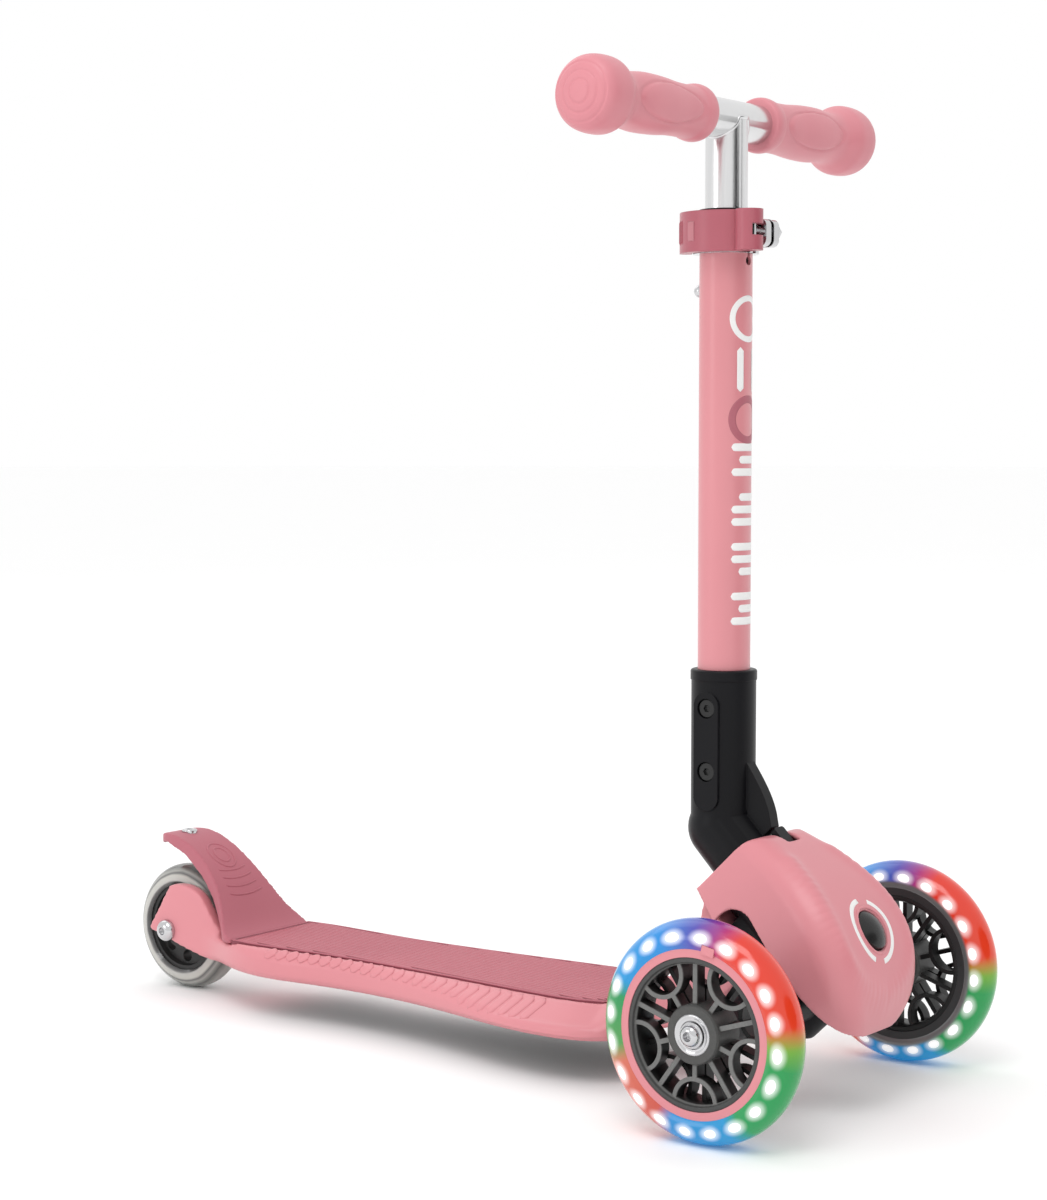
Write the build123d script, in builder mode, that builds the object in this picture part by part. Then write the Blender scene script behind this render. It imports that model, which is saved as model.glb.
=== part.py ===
from build123d import *
import os
from math import cos, radians, sin

# ---------------------------------------------------------------------------
# Three-wheel folding kick scooter. Millimetres, +Z up, the scooter faces -Y,
# the rider's right hand is on -X. X = 0 is the median plane, Z = 0 the ground.
# ---------------------------------------------------------------------------

# Overall layout
WHEELBASE = 481.0
TRACK = 221.0
HANDLE_Z = 550.0
MAST_BACK = 58.0
FOLD_Z = 149.0
RAKE = 46.0

# Wheels
FRONT_R = 60.0
FRONT_HALF_W = 12.0
REAR_R = 42.0
REAR_HALF_W = 12.0
RIM_R = 40.8
RING_R = 45.2
AXLE_R = 4.0
BEARING_R = 11.0
BEARING_W = 7.0
BEARING_OUT = 11.0
SPOKES = 5
LEDS = 20

# Named clearances
RUNNING = 0.05
SEAT = 0.02
GAP = 0.35

# Mast, clamp and handle
TUBE_R = 15.0
TUBE_WALL = 1.8
INNER_R = 12.0
INNER_WALL = 1.5
SOCKET_R = 18.5
SOCKET_TOP = 240.0
TUBE_BOTTOM = 172.0
CLAMP_LOW = 474.5
CLAMP_TOP = 498.0
BAR_R = 11.2
BAR_HALF = 136.0
GRIP_IN = 31.0
GRIP_OUT = 144.0
PIN_Z = 454.5
SLIDE_UP = 70.0
SLIDE_DOWN = 28.0

# Deck
DECK_LOW = 26.0
DECK_TOP = 46.0
MAT_DEPTH = 3.0
ARM_IN = 15.5
ARM_OUT = 24.0
NECK_HALF_W = 25.5

# Head and hood, measured along the fold axis (U, down and forward from the
# elbow) and square to it (N, up and forward)
LEG_R = 20.0
COLLAR_U = 22.5
SOCKET_OUT = 25.0
BACK_N = -23.0
KING_R = 5.0
NECK_BOLT_U = 68.3
BUTTON_U = 102.0
BUTTON_R = 11.0
LOCK_X = 14.0
LOCK_R = 2.5
LATCH_N = 26.9

# Derived positions
AXLE_Y = (FRONT_R - WHEELBASE - REAR_R) / 2
REAR_Y = AXLE_Y + WHEELBASE
MAST_Y = AXLE_Y + MAST_BACK
C, S = cos(radians(RAKE)), sin(radians(RAKE))
KING_U = MAST_BACK * C + (FOLD_Z - FRONT_R) * S
AXLE_N = MAST_BACK * S - (FOLD_Z - FRONT_R) * C

# Head frame: local X = scooter X, local Y = -U, local Z = N, origin at the elbow
HEAD = Plane(origin=(0, MAST_Y, FOLD_Z), x_dir=(1, 0, 0), z_dir=(0, -S, C))
SIDE = Plane(origin=(0, AXLE_Y, 0), x_dir=(0, 1, 0), z_dir=(1, 0, 0))

os.makedirs("parts", exist_ok=True)


def save(part, name, plane=Plane.XY):
    """Put a finished part on its plane, label it and write its STEP file."""
    placed = plane.location * part
    placed.label = name
    export_step(placed, f"parts/{name}.step")


def across(x):
    """The side plane at offset x: sketch X = scooter Y from the front axle, sketch Y = Z."""
    return SIDE.offset(x)


def head_side(x=0.0):
    """The side plane of the head frame: sketch X = -U, sketch Y = N."""
    return Plane(origin=(x, 0, 0), x_dir=(0, 1, 0), z_dir=(1, 0, 0))


def head_point(u, n):
    """A point of the head frame's side plane, as (Y from the front axle, Z)."""
    return (MAST_BACK - C * u - S * n, FOLD_Z - S * u + C * n)


def wheel_plane(x, y, z, outward):
    """The local frame of a wheel: local Z points away from the scooter's middle."""
    return Plane(origin=(x, y, z), x_dir=(0, outward, 0), z_dir=(outward, 0, 0))


# ---------------------------------------------------------------------------
# Front wheels: axis = local Z, local Z = 0 at the mid-plane
# ---------------------------------------------------------------------------

with BuildPart() as front_tyre:
    with BuildSketch(Plane.XZ):
        with BuildLine():
            Polyline((FRONT_R - 12, 12), (RING_R, 10.5), (RING_R, -10.5), (FRONT_R - 12, -12))
            ThreePointArc((FRONT_R - 12, -12), (FRONT_R - 3.5, -8.5), (FRONT_R, 0))
            ThreePointArc((FRONT_R, 0), (FRONT_R - 3.5, 8.5), (FRONT_R - 12, 12))
        make_face()
        with Locations((RING_R, 0)):
            Rectangle(2 * 9.8, 9.0, mode=Mode.SUBTRACT)
    revolve(axis=Axis.Z)
    with Locations(Rotation(0, 0, 78) * Pos(RING_R + 1.5, 0, 11)):
        Box(5.0, 8.2, 3.4, mode=Mode.SUBTRACT)

with BuildPart() as colour_ring:
    with BuildSketch(Plane.XZ):
        with Locations(((RIM_R + RING_R) / 2, 0)):
            Rectangle(RING_R - RIM_R, 21.0)
    revolve(axis=Axis.Z)
    with Locations(Rotation(0, 0, 78) * Pos(RING_R + 1.3, 0, 10.7)):
        Box(4.8, 7.8, 2.4)

with BuildPart() as led_ring:
    with BuildSketch(Plane.XZ):
        with Locations((RING_R + 2.8, 0)):
            Rectangle(5.0, 7.4)
    revolve(axis=Axis.Z)
    with PolarLocations(RING_R + 6.8, LEDS):
        Box(4.4, 5.4, 5.0)

with BuildPart() as front_hub:
    with BuildSketch(Plane.XZ):
        with BuildLine():
            Polyline(
                (RIM_R, -10), (RIM_R, 10), (RIM_R - 1.2, 10.6), (RIM_R - 2.6, 10.6), (RIM_R - 3.8, 8.0),
                (RIM_R - 3.8, -8.0), (RIM_R - 2.6, -10.6), (RIM_R - 1.2, -10.6), (RIM_R, -10),
            )
        make_face()
    revolve(axis=Axis.Z)
    with BuildSketch(Plane.XZ):
        with BuildLine():
            Polyline(
                (BEARING_R, 11.2), (15.2, 11.2), (16.0, 10.0), (16.0, -10.0), (15.2, -11.2), (BEARING_R, -11.2),
                (BEARING_R, -3.9), (7.0, -3.9), (7.0, 3.9), (BEARING_R, 3.9), (BEARING_R, 11.2),
            )
        make_face()
    revolve(axis=Axis.Z)
    for z_low, turn in ((0.8, 0.0), (-8.6, 36.0)):
        with BuildSketch(Plane.XY.offset(z_low)):
            for k in range(SPOKES):
                angle = 90 + turn + 360 / SPOKES * k
                with PolarLocations((RIM_R + 12.0) / 2, 1, start_angle=angle):
                    Rectangle(RIM_R - 17.0, 2.6)
                with PolarLocations(19.3, 1, start_angle=angle + 180 / SPOKES):
                    Rectangle(8.0, 2.6)
                with PolarLocations(36.6, 1, start_angle=angle + 180 / SPOKES):
                    Circle(14.0)
                    Circle(11.6, mode=Mode.SUBTRACT)
            Circle(RIM_R - 2.0, mode=Mode.INTERSECT)
            Circle(13.0, mode=Mode.SUBTRACT)
        extrude(amount=7.8)

with BuildPart() as bearing_pair:
    for side in (-1, 1):
        with BuildSketch(Plane.XZ):
            with Locations(((AXLE_R + RUNNING + BEARING_R) / 2, side * (BEARING_OUT - BEARING_W / 2))):
                Rectangle(BEARING_R - AXLE_R - RUNNING, BEARING_W)
            with Locations(((AXLE_R + BEARING_R) / 2, side * BEARING_OUT)):
                Rectangle(3.2, 0.8, mode=Mode.SUBTRACT)
        revolve(axis=Axis.Z)

with BuildPart() as bearing_spacer:
    Cylinder(6.2, 2 * (BEARING_OUT - BEARING_W))
    Cylinder(AXLE_R + 0.3, 30, mode=Mode.SUBTRACT)

for name, side in (("left", 1), ("right", -1)):
    seat = wheel_plane(side * TRACK / 2, AXLE_Y, FRONT_R, side)
    save(front_tyre.part, f"{name}_tyre", seat)
    save(colour_ring.part, f"{name}_colour_ring", seat)
    save(led_ring.part, f"{name}_led_ring", seat)
    save(front_hub.part, f"{name}_hub", seat)
    save(bearing_pair.part, f"{name}_bearings", seat)
    save(bearing_spacer.part, f"{name}_bearing_spacer", seat)

# ---------------------------------------------------------------------------
# Rear wheel and its axle
# ---------------------------------------------------------------------------

REAR_HUB_R = 29.0

with BuildPart() as rear_tyre:
    with BuildSketch(Plane.XZ):
        with BuildLine():
            Polyline((REAR_R - 11, 12), (REAR_HUB_R, 10), (REAR_HUB_R, -10), (REAR_R - 11, -12))
            ThreePointArc((REAR_R - 11, -12), (REAR_R - 3.2, -8.4), (REAR_R, 0))
            ThreePointArc((REAR_R, 0), (REAR_R - 3.2, 8.4), (REAR_R - 11, 12))
        make_face()
    revolve(axis=Axis.Z)

with BuildPart() as rear_hub:
    with BuildSketch(Plane.XZ):
        with BuildLine():
            Polyline(
                (BEARING_R, 11.2), (14.6, 11.2), (15.4, 5.0), (25.6, 5.0), (26.4, 9.0), (REAR_HUB_R, 9.0),
                (REAR_HUB_R, -9.0), (26.4, -9.0), (25.6, -5.0), (15.4, -5.0), (14.6, -11.2), (BEARING_R, -11.2),
                (BEARING_R, -3.9), (7.0, -3.9), (7.0, 3.9), (BEARING_R, 3.9), (BEARING_R, 11.2),
            )
        make_face()
    revolve(axis=Axis.Z)
    with PolarLocations(20.5, 8):
        Cylinder(3.9, 30, mode=Mode.SUBTRACT)

rear_seat = wheel_plane(0, REAR_Y, REAR_R, -1)
save(rear_tyre.part, "rear_tyre", rear_seat)
save(rear_hub.part, "rear_hub", rear_seat)
save(bearing_pair.part, "rear_bearings", rear_seat)
save(bearing_spacer.part, "rear_bearing_spacer", rear_seat)

with BuildPart() as rear_axle_bolt:
    with BuildSketch(Plane.XZ):
        with BuildLine():
            Polyline((0, -29.0), (AXLE_R, -29.0), (AXLE_R, ARM_OUT + 0.1), (7.2, ARM_OUT + 0.1), (7.2, 25.6))
            ThreePointArc((7.2, 25.6), (5.4, 28.4), (2.6, 29.4))
            Polyline((2.6, 29.4), (2.6, 27.0), (0, 27.0), (0, -29.0))
        make_face()
    revolve(axis=Axis.Z)
save(rear_axle_bolt.part, "rear_axle_bolt", rear_seat)

with BuildPart() as rear_axle_nut:
    with BuildSketch(Plane.XY.offset(-ARM_OUT - 0.1)):
        RegularPolygon(7.4, 6)
        Circle(AXLE_R + SEAT, mode=Mode.SUBTRACT)
    extrude(amount=-6.4)
save(rear_axle_nut.part, "rear_axle_nut", rear_seat)

with BuildPart() as rear_axle_spacers:
    for side in (-1, 1):
        with Locations((0, 0, side * (BEARING_OUT + GAP + ARM_IN) / 2)):
            Cylinder(7.2, ARM_IN - BEARING_OUT - GAP)
    Cylinder(AXLE_R + SEAT, 60, mode=Mode.SUBTRACT)
save(rear_axle_spacers.part, "rear_axle_spacers", rear_seat)

# ---------------------------------------------------------------------------
# Deck: shell with wings, rear fork arms and the neck that rises to the head
# ---------------------------------------------------------------------------

DECK_EDGE = [
    (36.0, 94.0), (52.0, 104.0), (61.0, 122.0), (63.5, 148.0), (60.0, 180.0), (52.5, 215.0), (45.0, 255.0),
    (41.5, 300.0), (43.0, 340.0), (45.5, 368.0), (43.0, 395.0), (35.0, 418.0), (27.0, 436.0), (ARM_OUT, 452.0),
]
MAT_EDGE = [
    (38.0, 114.0), (42.5, 130.0), (43.5, 150.0), (41.5, 185.0), (38.5, 225.0), (36.0, 270.0), (35.0, 310.0),
    (37.0, 350.0), (39.0, 385.0), (38.0, 409.0),
]
HINGE_Y = 421.0
HINGE_Z = 37.0
HINGE_R = 2.5
BRAKE_FRONT = 410.0


def mirrored_outline(points, inset=0.0):
    """Closed outline from one spline down each side, with straight front and rear ends."""
    right = [(x - inset, AXLE_Y + y) for x, y in points]
    left = [(-x, y) for x, y in right]
    with BuildLine(mode=Mode.PRIVATE) as edge:
        Spline(*right)
        Spline(*left)
        Line(right[0], left[0])
        Line(right[-1], left[-1])
    return edge.line


with BuildPart() as deck_shell:
    with BuildSketch(Plane.XY.offset(DECK_LOW)):
        add(mirrored_outline(DECK_EDGE))
        make_face()
    extrude(amount=DECK_TOP - DECK_LOW)
    fillet(deck_shell.edges().filter_by_position(Axis.Z, DECK_LOW - 0.1, DECK_LOW + 0.1), 6.0)
    fillet(deck_shell.edges().filter_by_position(Axis.Z, DECK_TOP - 0.1, DECK_TOP + 0.1), 4.0)
    for side in (-1, 1):
        with BuildSketch(across(side * (ARM_IN + ARM_OUT) / 2)):
            with BuildLine():
                Spline((418, 42.0), (433, 47.0), (444, 60.0), (453, 70.0), (467, 74.0), (479, 72.5))
                Line((479, 72.5), (499, 41.0))
                Spline((499, 41.0), (486, 37.6), (465, 31.4), (445, 27.2), (418, 27.0))
                Line((418, 27.0), (418, 42.0))
            make_face()
        extrude(amount=(ARM_OUT - ARM_IN) / 2, both=True)
    with BuildSketch(across(0)):
        with BuildLine():
            crest = head_point(27.0, BACK_N - SEAT)
            throat = head_point(76.0, BACK_N - SEAT)
            Spline((134, 45.0), (108, 48.0), (88, 56.5), (72, 71.0), (61.5, 89.0), (56.0, 106.0))
            Polyline((56.0, 106.0), crest, throat)
            Spline(throat, (38, 60), (62, 41), (95, 30), (134, 28.0))
            Line((134, 28.0), (134, 45.0))
        make_face()
    extrude(amount=NECK_HALF_W, both=True)
    with BuildSketch(Plane.XY.offset(DECK_LOW - 1)):
        add(mirrored_outline(DECK_EDGE[1:-3], 7.0))
        make_face()
    extrude(amount=12.0, mode=Mode.SUBTRACT)
    with BuildSketch(Plane.XY.offset(DECK_TOP - MAT_DEPTH)):
        add(mirrored_outline(MAT_EDGE))
        make_face()
    extrude(amount=MAT_DEPTH + 4.0, mode=Mode.SUBTRACT)
    with Locations((0, AXLE_Y + (BRAKE_FRONT - 1 + 432) / 2, DECK_TOP - MAT_DEPTH + 10)):
        Box(77.0, 432 - BRAKE_FRONT + 1, 20, mode=Mode.SUBTRACT)
    with Locations((0, AXLE_Y + 480, 60.0)):
        Box(2 * ARM_IN, 96.0, 80, mode=Mode.SUBTRACT)
    with Locations((0, AXLE_Y + (BRAKE_FRONT + 440) / 2, 40.0)):
        Box(2 * ARM_IN, 440 - BRAKE_FRONT - 1, 20, mode=Mode.SUBTRACT)
    with Locations(Pos(0, REAR_Y, REAR_R) * Rotation(0, 90, 0)):
        Cylinder(AXLE_R + SEAT, 80, mode=Mode.SUBTRACT)
    with Locations(Pos(0, AXLE_Y + HINGE_Y, HINGE_Z) * Rotation(0, 90, 0)):
        Cylinder(HINGE_R + SEAT, 46, mode=Mode.SUBTRACT)
    for x in (-12, 12):
        with Locations(HEAD.location * Pos(x, -NECK_BOLT_U, -30)):
            Cylinder(3.0 + SEAT, 20, mode=Mode.SUBTRACT)
        with Locations(HEAD.location * Pos(x, -NECK_BOLT_U, -60)):
            Cylinder(6.2, 48, mode=Mode.SUBTRACT)
save(deck_shell.part, "deck_shell")

with BuildPart() as deck_mat:
    with BuildSketch(Plane.XY.offset(DECK_TOP - MAT_DEPTH + SEAT)):
        add(mirrored_outline(MAT_EDGE, 0.2))
        make_face()
    extrude(amount=MAT_DEPTH + 0.4)
save(deck_mat.part, "deck_mat")

with BuildPart() as deck_plate:
    with BuildSketch(Plane.XY.offset(DECK_LOW + 0.4)):
        add(mirrored_outline(DECK_EDGE[1:-3], 7.3))
        make_face()
    extrude(amount=3.0)
    for k in range(4):
        with Locations((0, AXLE_Y + 130 + 75 * k, (DECK_LOW + 3 + 36.9) / 2)):
            Box(60 - 4 * k, 3.0, 36.9 - DECK_LOW - 3)
        for side in (-1, 1):
            with Locations((side * (20 - k), AXLE_Y + 130 + 75 * k, DECK_LOW + 1.0)):
                Cylinder(4.0 + SEAT, 2.0, mode=Mode.SUBTRACT)
save(deck_plate.part, "deck_plate")

with BuildPart() as deck_plate_screws:
    for k in range(4):
        for side in (-1, 1):
            with Locations((side * (20 - k), AXLE_Y + 130 + 75 * k, DECK_LOW + 1.3)):
                Cylinder(4.0, 1.3)
save(deck_plate_screws.part, "deck_plate_screws")

# ---------------------------------------------------------------------------
# Rear brake: a fender that turns on a cross pin at the back of the deck
# ---------------------------------------------------------------------------

FENDER_EDGE = [
    (37.5, BRAKE_FRONT), (37.0, 417.0), (30.5, 425.0), (23.5, 437.0), (19.5, 455.0), (18.0, 474.0), (15.5, 490.0),
    (9.5, 500.5), (4.0, 503.3),
]
PLATE_LINE = [(488.0, 99.6), (470.0, 93.4), (453.0, 80.4)]
BRAKE_SCREW_Y = 483.0

with BuildPart() as brake_fender:
    with BuildSketch(across(0)):
        with BuildLine():
            Line((BRAKE_FRONT, DECK_TOP - MAT_DEPTH + 0.5), (BRAKE_FRONT, DECK_TOP + 0.3))
            Spline(
                (BRAKE_FRONT, DECK_TOP + 0.3), (417, 51.0), (425, 61.0), (434, 74.0), (445, 86.0), (459, 96.8),
                (473, 103.4), (485, 105.8), (495, 104.8), (503.5, 99.8),
            )
            Polyline(
                (503.5, 99.8), (501.5, 96.4), (495, 99.4), *PLATE_LINE, (441, 68.0), (432.5, 55.0), (426, 46.0),
                (421, DECK_TOP - MAT_DEPTH + 0.5), (BRAKE_FRONT, DECK_TOP - MAT_DEPTH + 0.5),
            )
        make_face()
    extrude(amount=40.0, both=True)
    with BuildSketch(Plane.XY):
        add(mirrored_outline(FENDER_EDGE))
        make_face()
    extrude(amount=120.0, mode=Mode.INTERSECT)
    for side in (-1, 1):
        with BuildSketch(across(side * 10.5)):
            with Locations((HINGE_Y, HINGE_Z)):
                Circle(5.6)
            Polygon((415.4, HINGE_Z), (426.6, HINGE_Z), (431.5, 56.5), (421, 52.0), (415.4, 46.5), align=None)
        extrude(amount=2.4, both=True)
    with Locations(Pos(0, AXLE_Y + HINGE_Y, HINGE_Z) * Rotation(0, 90, 0)):
        Cylinder(HINGE_R + RUNNING, 60, mode=Mode.SUBTRACT)
    with Locations((0, AXLE_Y + BRAKE_SCREW_Y, 100)):
        Cylinder(2.5 + SEAT, 30, mode=Mode.SUBTRACT)
    with Locations((0, AXLE_Y + BRAKE_SCREW_Y, 104.2 + 5)):
        Cylinder(5.6, 10, mode=Mode.SUBTRACT)
save(brake_fender.part, "brake_fender")

with BuildPart() as brake_wear_plate:
    with BuildSketch(across(0)):
        with BuildLine():
            Polyline(
                *PLATE_LINE, (PLATE_LINE[2][0] + 1.4, PLATE_LINE[2][1] - 1.8),
                (PLATE_LINE[1][0] + 0.9, PLATE_LINE[1][1] - 2.2), (PLATE_LINE[0][0], PLATE_LINE[0][1] - 2.2),
                PLATE_LINE[0],
            )
        make_face()
    extrude(amount=10.0, both=True)
    with Locations((0, AXLE_Y + BRAKE_SCREW_Y, 97)):
        Cylinder(2.5 + SEAT, 20, mode=Mode.SUBTRACT)
save(brake_wear_plate.part, "brake_wear_plate", Plane.XY.offset(-SEAT))

with BuildPart() as brake_screw:
    with Locations((0, AXLE_Y + BRAKE_SCREW_Y, 100.0)):
        Cylinder(2.5, 8.6)
    with Locations((0, AXLE_Y + BRAKE_SCREW_Y, 105.7)):
        Cylinder(5.2, 2.9)
    fillet(brake_screw.edges().sort_by(Axis.Z)[-1], 1.2)
    with Locations((0, AXLE_Y + BRAKE_SCREW_Y, 107.0)):
        Cylinder(2.0, 2.0, mode=Mode.SUBTRACT)
save(brake_screw.part, "brake_screw")

with BuildPart() as brake_hinge_pin:
    with Locations(Pos(0, AXLE_Y + HINGE_Y, HINGE_Z) * Rotation(0, 90, 0)):
        Cylinder(HINGE_R, 45.0)
save(brake_hinge_pin.part, "brake_hinge_pin")

with BuildPart() as brake_spring:
    for k in range(6):
        with Locations(Pos(-5.0 + 2.0 * k, AXLE_Y + HINGE_Y, HINGE_Z) * Rotation(0, 90, 0)):
            Cylinder(4.6, 2.02)
    with Locations(Pos(0, AXLE_Y + HINGE_Y, HINGE_Z) * Rotation(0, 90, 0)):
        Cylinder(HINGE_R + SEAT, 40, mode=Mode.SUBTRACT)
    with Locations((0, AXLE_Y + HINGE_Y - 4.0, HINGE_Z - 3.25)):
        Box(12.0, 1.6, 6.5)
save(brake_spring.part, "brake_spring")

# ---------------------------------------------------------------------------
# Hood and steering head, drawn in the head frame
# ---------------------------------------------------------------------------

HOOD_EDGE = [
    (27.0, COLLAR_U), (31.5, 36.0), (36.5, 52.0), (41.0, 68.0), (44.5, 84.0), (46.5, 100.0), (46.0, 114.0),
    (42.5, 126.0), (35.5, 136.0), (23.5, 143.5), (9.0, 146.5),
]
HOOD_FACE = [
    (COLLAR_U, 27.4), (36.0, 32.4), (50.0, 36.2), (66.0, 39.2), (82.0, 40.2), (98.0, 38.4), (112.0, 33.9),
    (124.0, 27.2), (134.0, 18.6), (142.0, 8.0), (147.5, -4.0),
]
HOOD_WALL = 3.0
HOOD_TURN_U = 120.0  # beyond this the outline faces forward and is drawn in along U too


def hood_volume(inset, shoulder):
    """Solid bounded by the hood's outline and face, both drawn in by the inset."""
    with BuildPart() as volume:
        with BuildSketch(Plane.XY.offset(-40)):
            right = [(x - inset, -u + (inset if u > HOOD_TURN_U else 0)) for x, u in HOOD_EDGE]
            left = [(-x, v) for x, v in right]
            with BuildLine():
                Spline(*right)
                Spline(*left)
                Line(right[0], left[0])
                Spline(right[-1], (0, right[-1][1] - 0.3), left[-1])
            make_face()
        extrude(amount=100)
        with BuildSketch(head_side()):
            face = [(-u, n - inset) for u, n in HOOD_FACE]
            with BuildLine():
                Spline(*face)
                Polyline(face[-1], (face[-1][0] - 2, -60), (face[0][0], -60), face[0])
            make_face()
        extrude(amount=80, both=True, mode=Mode.INTERSECT)
        crown = volume.faces().sort_by(Axis.Z)[-1]
        rim = crown.edges().filter_by(lambda e: abs(e.center().X) > 5)
        fillet(rim, shoulder)
    return volume.part


HOOD_SCREWS = ((-34, -74), (34, -74), (-34, -120), (34, -120))

hood_outside = hood_volume(0.0, 16.0)
hood_inside = hood_volume(HOOD_WALL, 16.0 - HOOD_WALL)

with BuildPart() as hood_shell:
    add(hood_outside)
    add(hood_inside, mode=Mode.SUBTRACT)
    with BuildSketch(head_side()):
        with BuildLine():
            Polyline((-10, BACK_N), (-40, BACK_N), (-46, BACK_N))
            ThreePointArc((-46, BACK_N), (-49, -6), (-60, 0.0))
            Polyline((-60, 0.0), (-200, 0.0), (-200, -70), (-10, -70), (-10, BACK_N))
        make_face()
    extrude(amount=80, both=True, mode=Mode.SUBTRACT)
    with Locations((0, -30, 26)):
        Box(14.0, 12.0, 12, mode=Mode.SUBTRACT)
    with Locations((0, -COLLAR_U, 0)):
        Cylinder(LEG_R + 2.0, 30, rotation=(90, 0, 0), mode=Mode.SUBTRACT)
    with Locations((0, -BUTTON_U, 40)):
        Cylinder(BUTTON_R + GAP, 20, mode=Mode.SUBTRACT)
    with Locations(*[(x, y, 25) for x, y in HOOD_SCREWS]):
        Cylinder(4.4, 42.9)
    with Locations(*[(x, y, 10) for x, y in HOOD_SCREWS]):
        Cylinder(1.6 + SEAT, 20.0, mode=Mode.SUBTRACT)
    add(hood_outside, mode=Mode.INTERSECT)
save(hood_shell.part, "hood_shell", HEAD)

HEAD_PLATE = 3.4

with BuildPart() as steering_head:
    with BuildSketch(Plane.XY.offset(0.0)):
        inset = HOOD_WALL + GAP
        right = [(x - inset, -u + (inset if u > HOOD_TURN_U else 0)) for x, u in HOOD_EDGE]
        with BuildLine():
            Spline(*right)
            Spline(*[(-x, v) for x, v in right])
            Line(right[0], (-right[0][0], right[0][1]))
            Line(right[-1], (-right[-1][0], right[-1][1]))
        make_face()
        with Locations((0, -COLLAR_U), (0, -170.0)):
            Rectangle(120, 2 * 30.0, mode=Mode.SUBTRACT)
    extrude(amount=HEAD_PLATE)
    with Locations((0, -(32 + 72) / 2, 0)):
        Cylinder(SOCKET_OUT, 40, rotation=(90, 0, 0))
    with Locations((0, -(66 + 118) / 2, 12)):
        Box(46, 52, 24)
    with Locations((0, -(50 + 74) / 2, (BACK_N + 8) / 2)):
        Box(42, 24, 8 - BACK_N)
    with Locations((0, -45, 27.2 / 2)):
        Box(15, 22, 27.2)
    with Locations((0, -40, -54 + BACK_N)):
        Box(120, 120, 108, mode=Mode.SUBTRACT)
    with Locations((0, -(72.2 + 86) / 2, 0)):
        Cylinder(8.4, 13.8, rotation=(90, 0, 0), mode=Mode.SUBTRACT)
    with Locations((0, -(20 + 64.3) / 2, 0)):
        Cylinder(LEG_R + RUNNING, 44.3, rotation=(90, 0, 0), mode=Mode.SUBTRACT)
    with Locations((0, -60, 0)):
        Cylinder(AXLE_R + SEAT, 60, rotation=(90, 0, 0), mode=Mode.SUBTRACT)
    with Locations((0, -40, LATCH_N + 0.35)):
        Box(10.2, 40, 4.5, mode=Mode.SUBTRACT)
    with Locations((0, -KING_U, 10)):
        Cylinder(KING_R + SEAT, 60, mode=Mode.SUBTRACT)
    with Locations(*[(x, -KING_U, 10) for x in (-LOCK_X, LOCK_X)]):
        Cylinder(LOCK_R + 0.1, 60, mode=Mode.SUBTRACT)
    with Locations(*[(x, -NECK_BOLT_U, -15) for x in (-12, 12)]):
        Cylinder(3.0 + SEAT, 17.0, mode=Mode.SUBTRACT)
    with Locations(*[(x, y, 10) for x, y in HOOD_SCREWS]):
        Cylinder(1.6 + SEAT, 40.0, mode=Mode.SUBTRACT)
save(steering_head.part, "steering_head", HEAD)

with BuildPart() as hood_screws:
    with Locations(*[(x, y, 4.0) for x, y in HOOD_SCREWS]):
        Cylinder(1.6, 12.0)
    with Locations(*[(x, y, -1.3) for x, y in HOOD_SCREWS]):
        Cylinder(3.4, 2.5)
save(hood_screws.part, "hood_screws", HEAD)

with BuildPart() as neck_bolts:
    for x in (-12, 12):
        with Locations((x, -NECK_BOLT_U, -22.5)):
            Cylinder(3.0, 29.0)
        with Locations((x, -NECK_BOLT_U, -39.0)):
            Cylinder(5.4, 5.0)
save(neck_bolts.part, "neck_bolts", HEAD)

with BuildPart() as pivot_bolt:
    with Locations((0, -(32 + 73) / 2, 0)):
        Cylinder(AXLE_R, 41, rotation=(90, 0, 0))
    with Locations((0, -75.0, 0)):
        Cylinder(7.0, 5.4, rotation=(90, 0, 0))
save(pivot_bolt.part, "pivot_bolt", HEAD)

with BuildPart() as king_bolt:
    with BuildSketch(Plane.XY.offset(24.05)):
        with Locations((0, -KING_U)):
            RegularPolygon(8.6, 6)
    extrude(amount=2.4)
    with Locations((0, -KING_U, (24.1 - 46) / 2)):
        Cylinder(KING_R, 70.1)
save(king_bolt.part, "king_bolt", HEAD)

with BuildPart() as king_nut:
    with BuildSketch(Plane.XY.offset(-45.0)):
        with Locations((0, -KING_U)):
            RegularPolygon(8.6, 6)
            Circle(KING_R + SEAT, mode=Mode.SUBTRACT)
    extrude(amount=6.0)
    with BuildSketch(Plane.XY.offset(-38.9)):
        with Locations((0, -KING_U)):
            Circle(12.0)
            Circle(KING_R + SEAT, mode=Mode.SUBTRACT)
    extrude(amount=1.9)
save(king_nut.part, "king_nut", HEAD)

with BuildPart() as lock_button:
    with Locations((0, -BUTTON_U, 37.5)):
        Cylinder(BUTTON_R, 14.0)
    with Locations((0, -BUTTON_U + 3.0, 21.2)):
        Sphere(19.5, mode=Mode.INTERSECT)
    with BuildSketch(Plane.XY.offset(30.1)):
        with Locations((0, -KING_U)):
            SlotOverall(2 * LOCK_X + 8, 9)
    extrude(amount=1.4)
    with Locations(*[(x, -KING_U, 16.15) for x in (-LOCK_X, LOCK_X)]):
        Cylinder(LOCK_R, 29.7)
save(lock_button.part, "lock_button", HEAD)

with BuildPart() as lock_springs:
    for x in (-LOCK_X, LOCK_X):
        for k in range(3):
            with Locations((x, -KING_U, 25.0 + 2.0 * k)):
                Torus(LOCK_R + 1.3, 0.55)
        with Locations((x + LOCK_R + 1.3, -KING_U, 27.0)):
            Box(0.9, 0.9, 4.6)
save(lock_springs.part, "lock_springs", HEAD)

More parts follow.
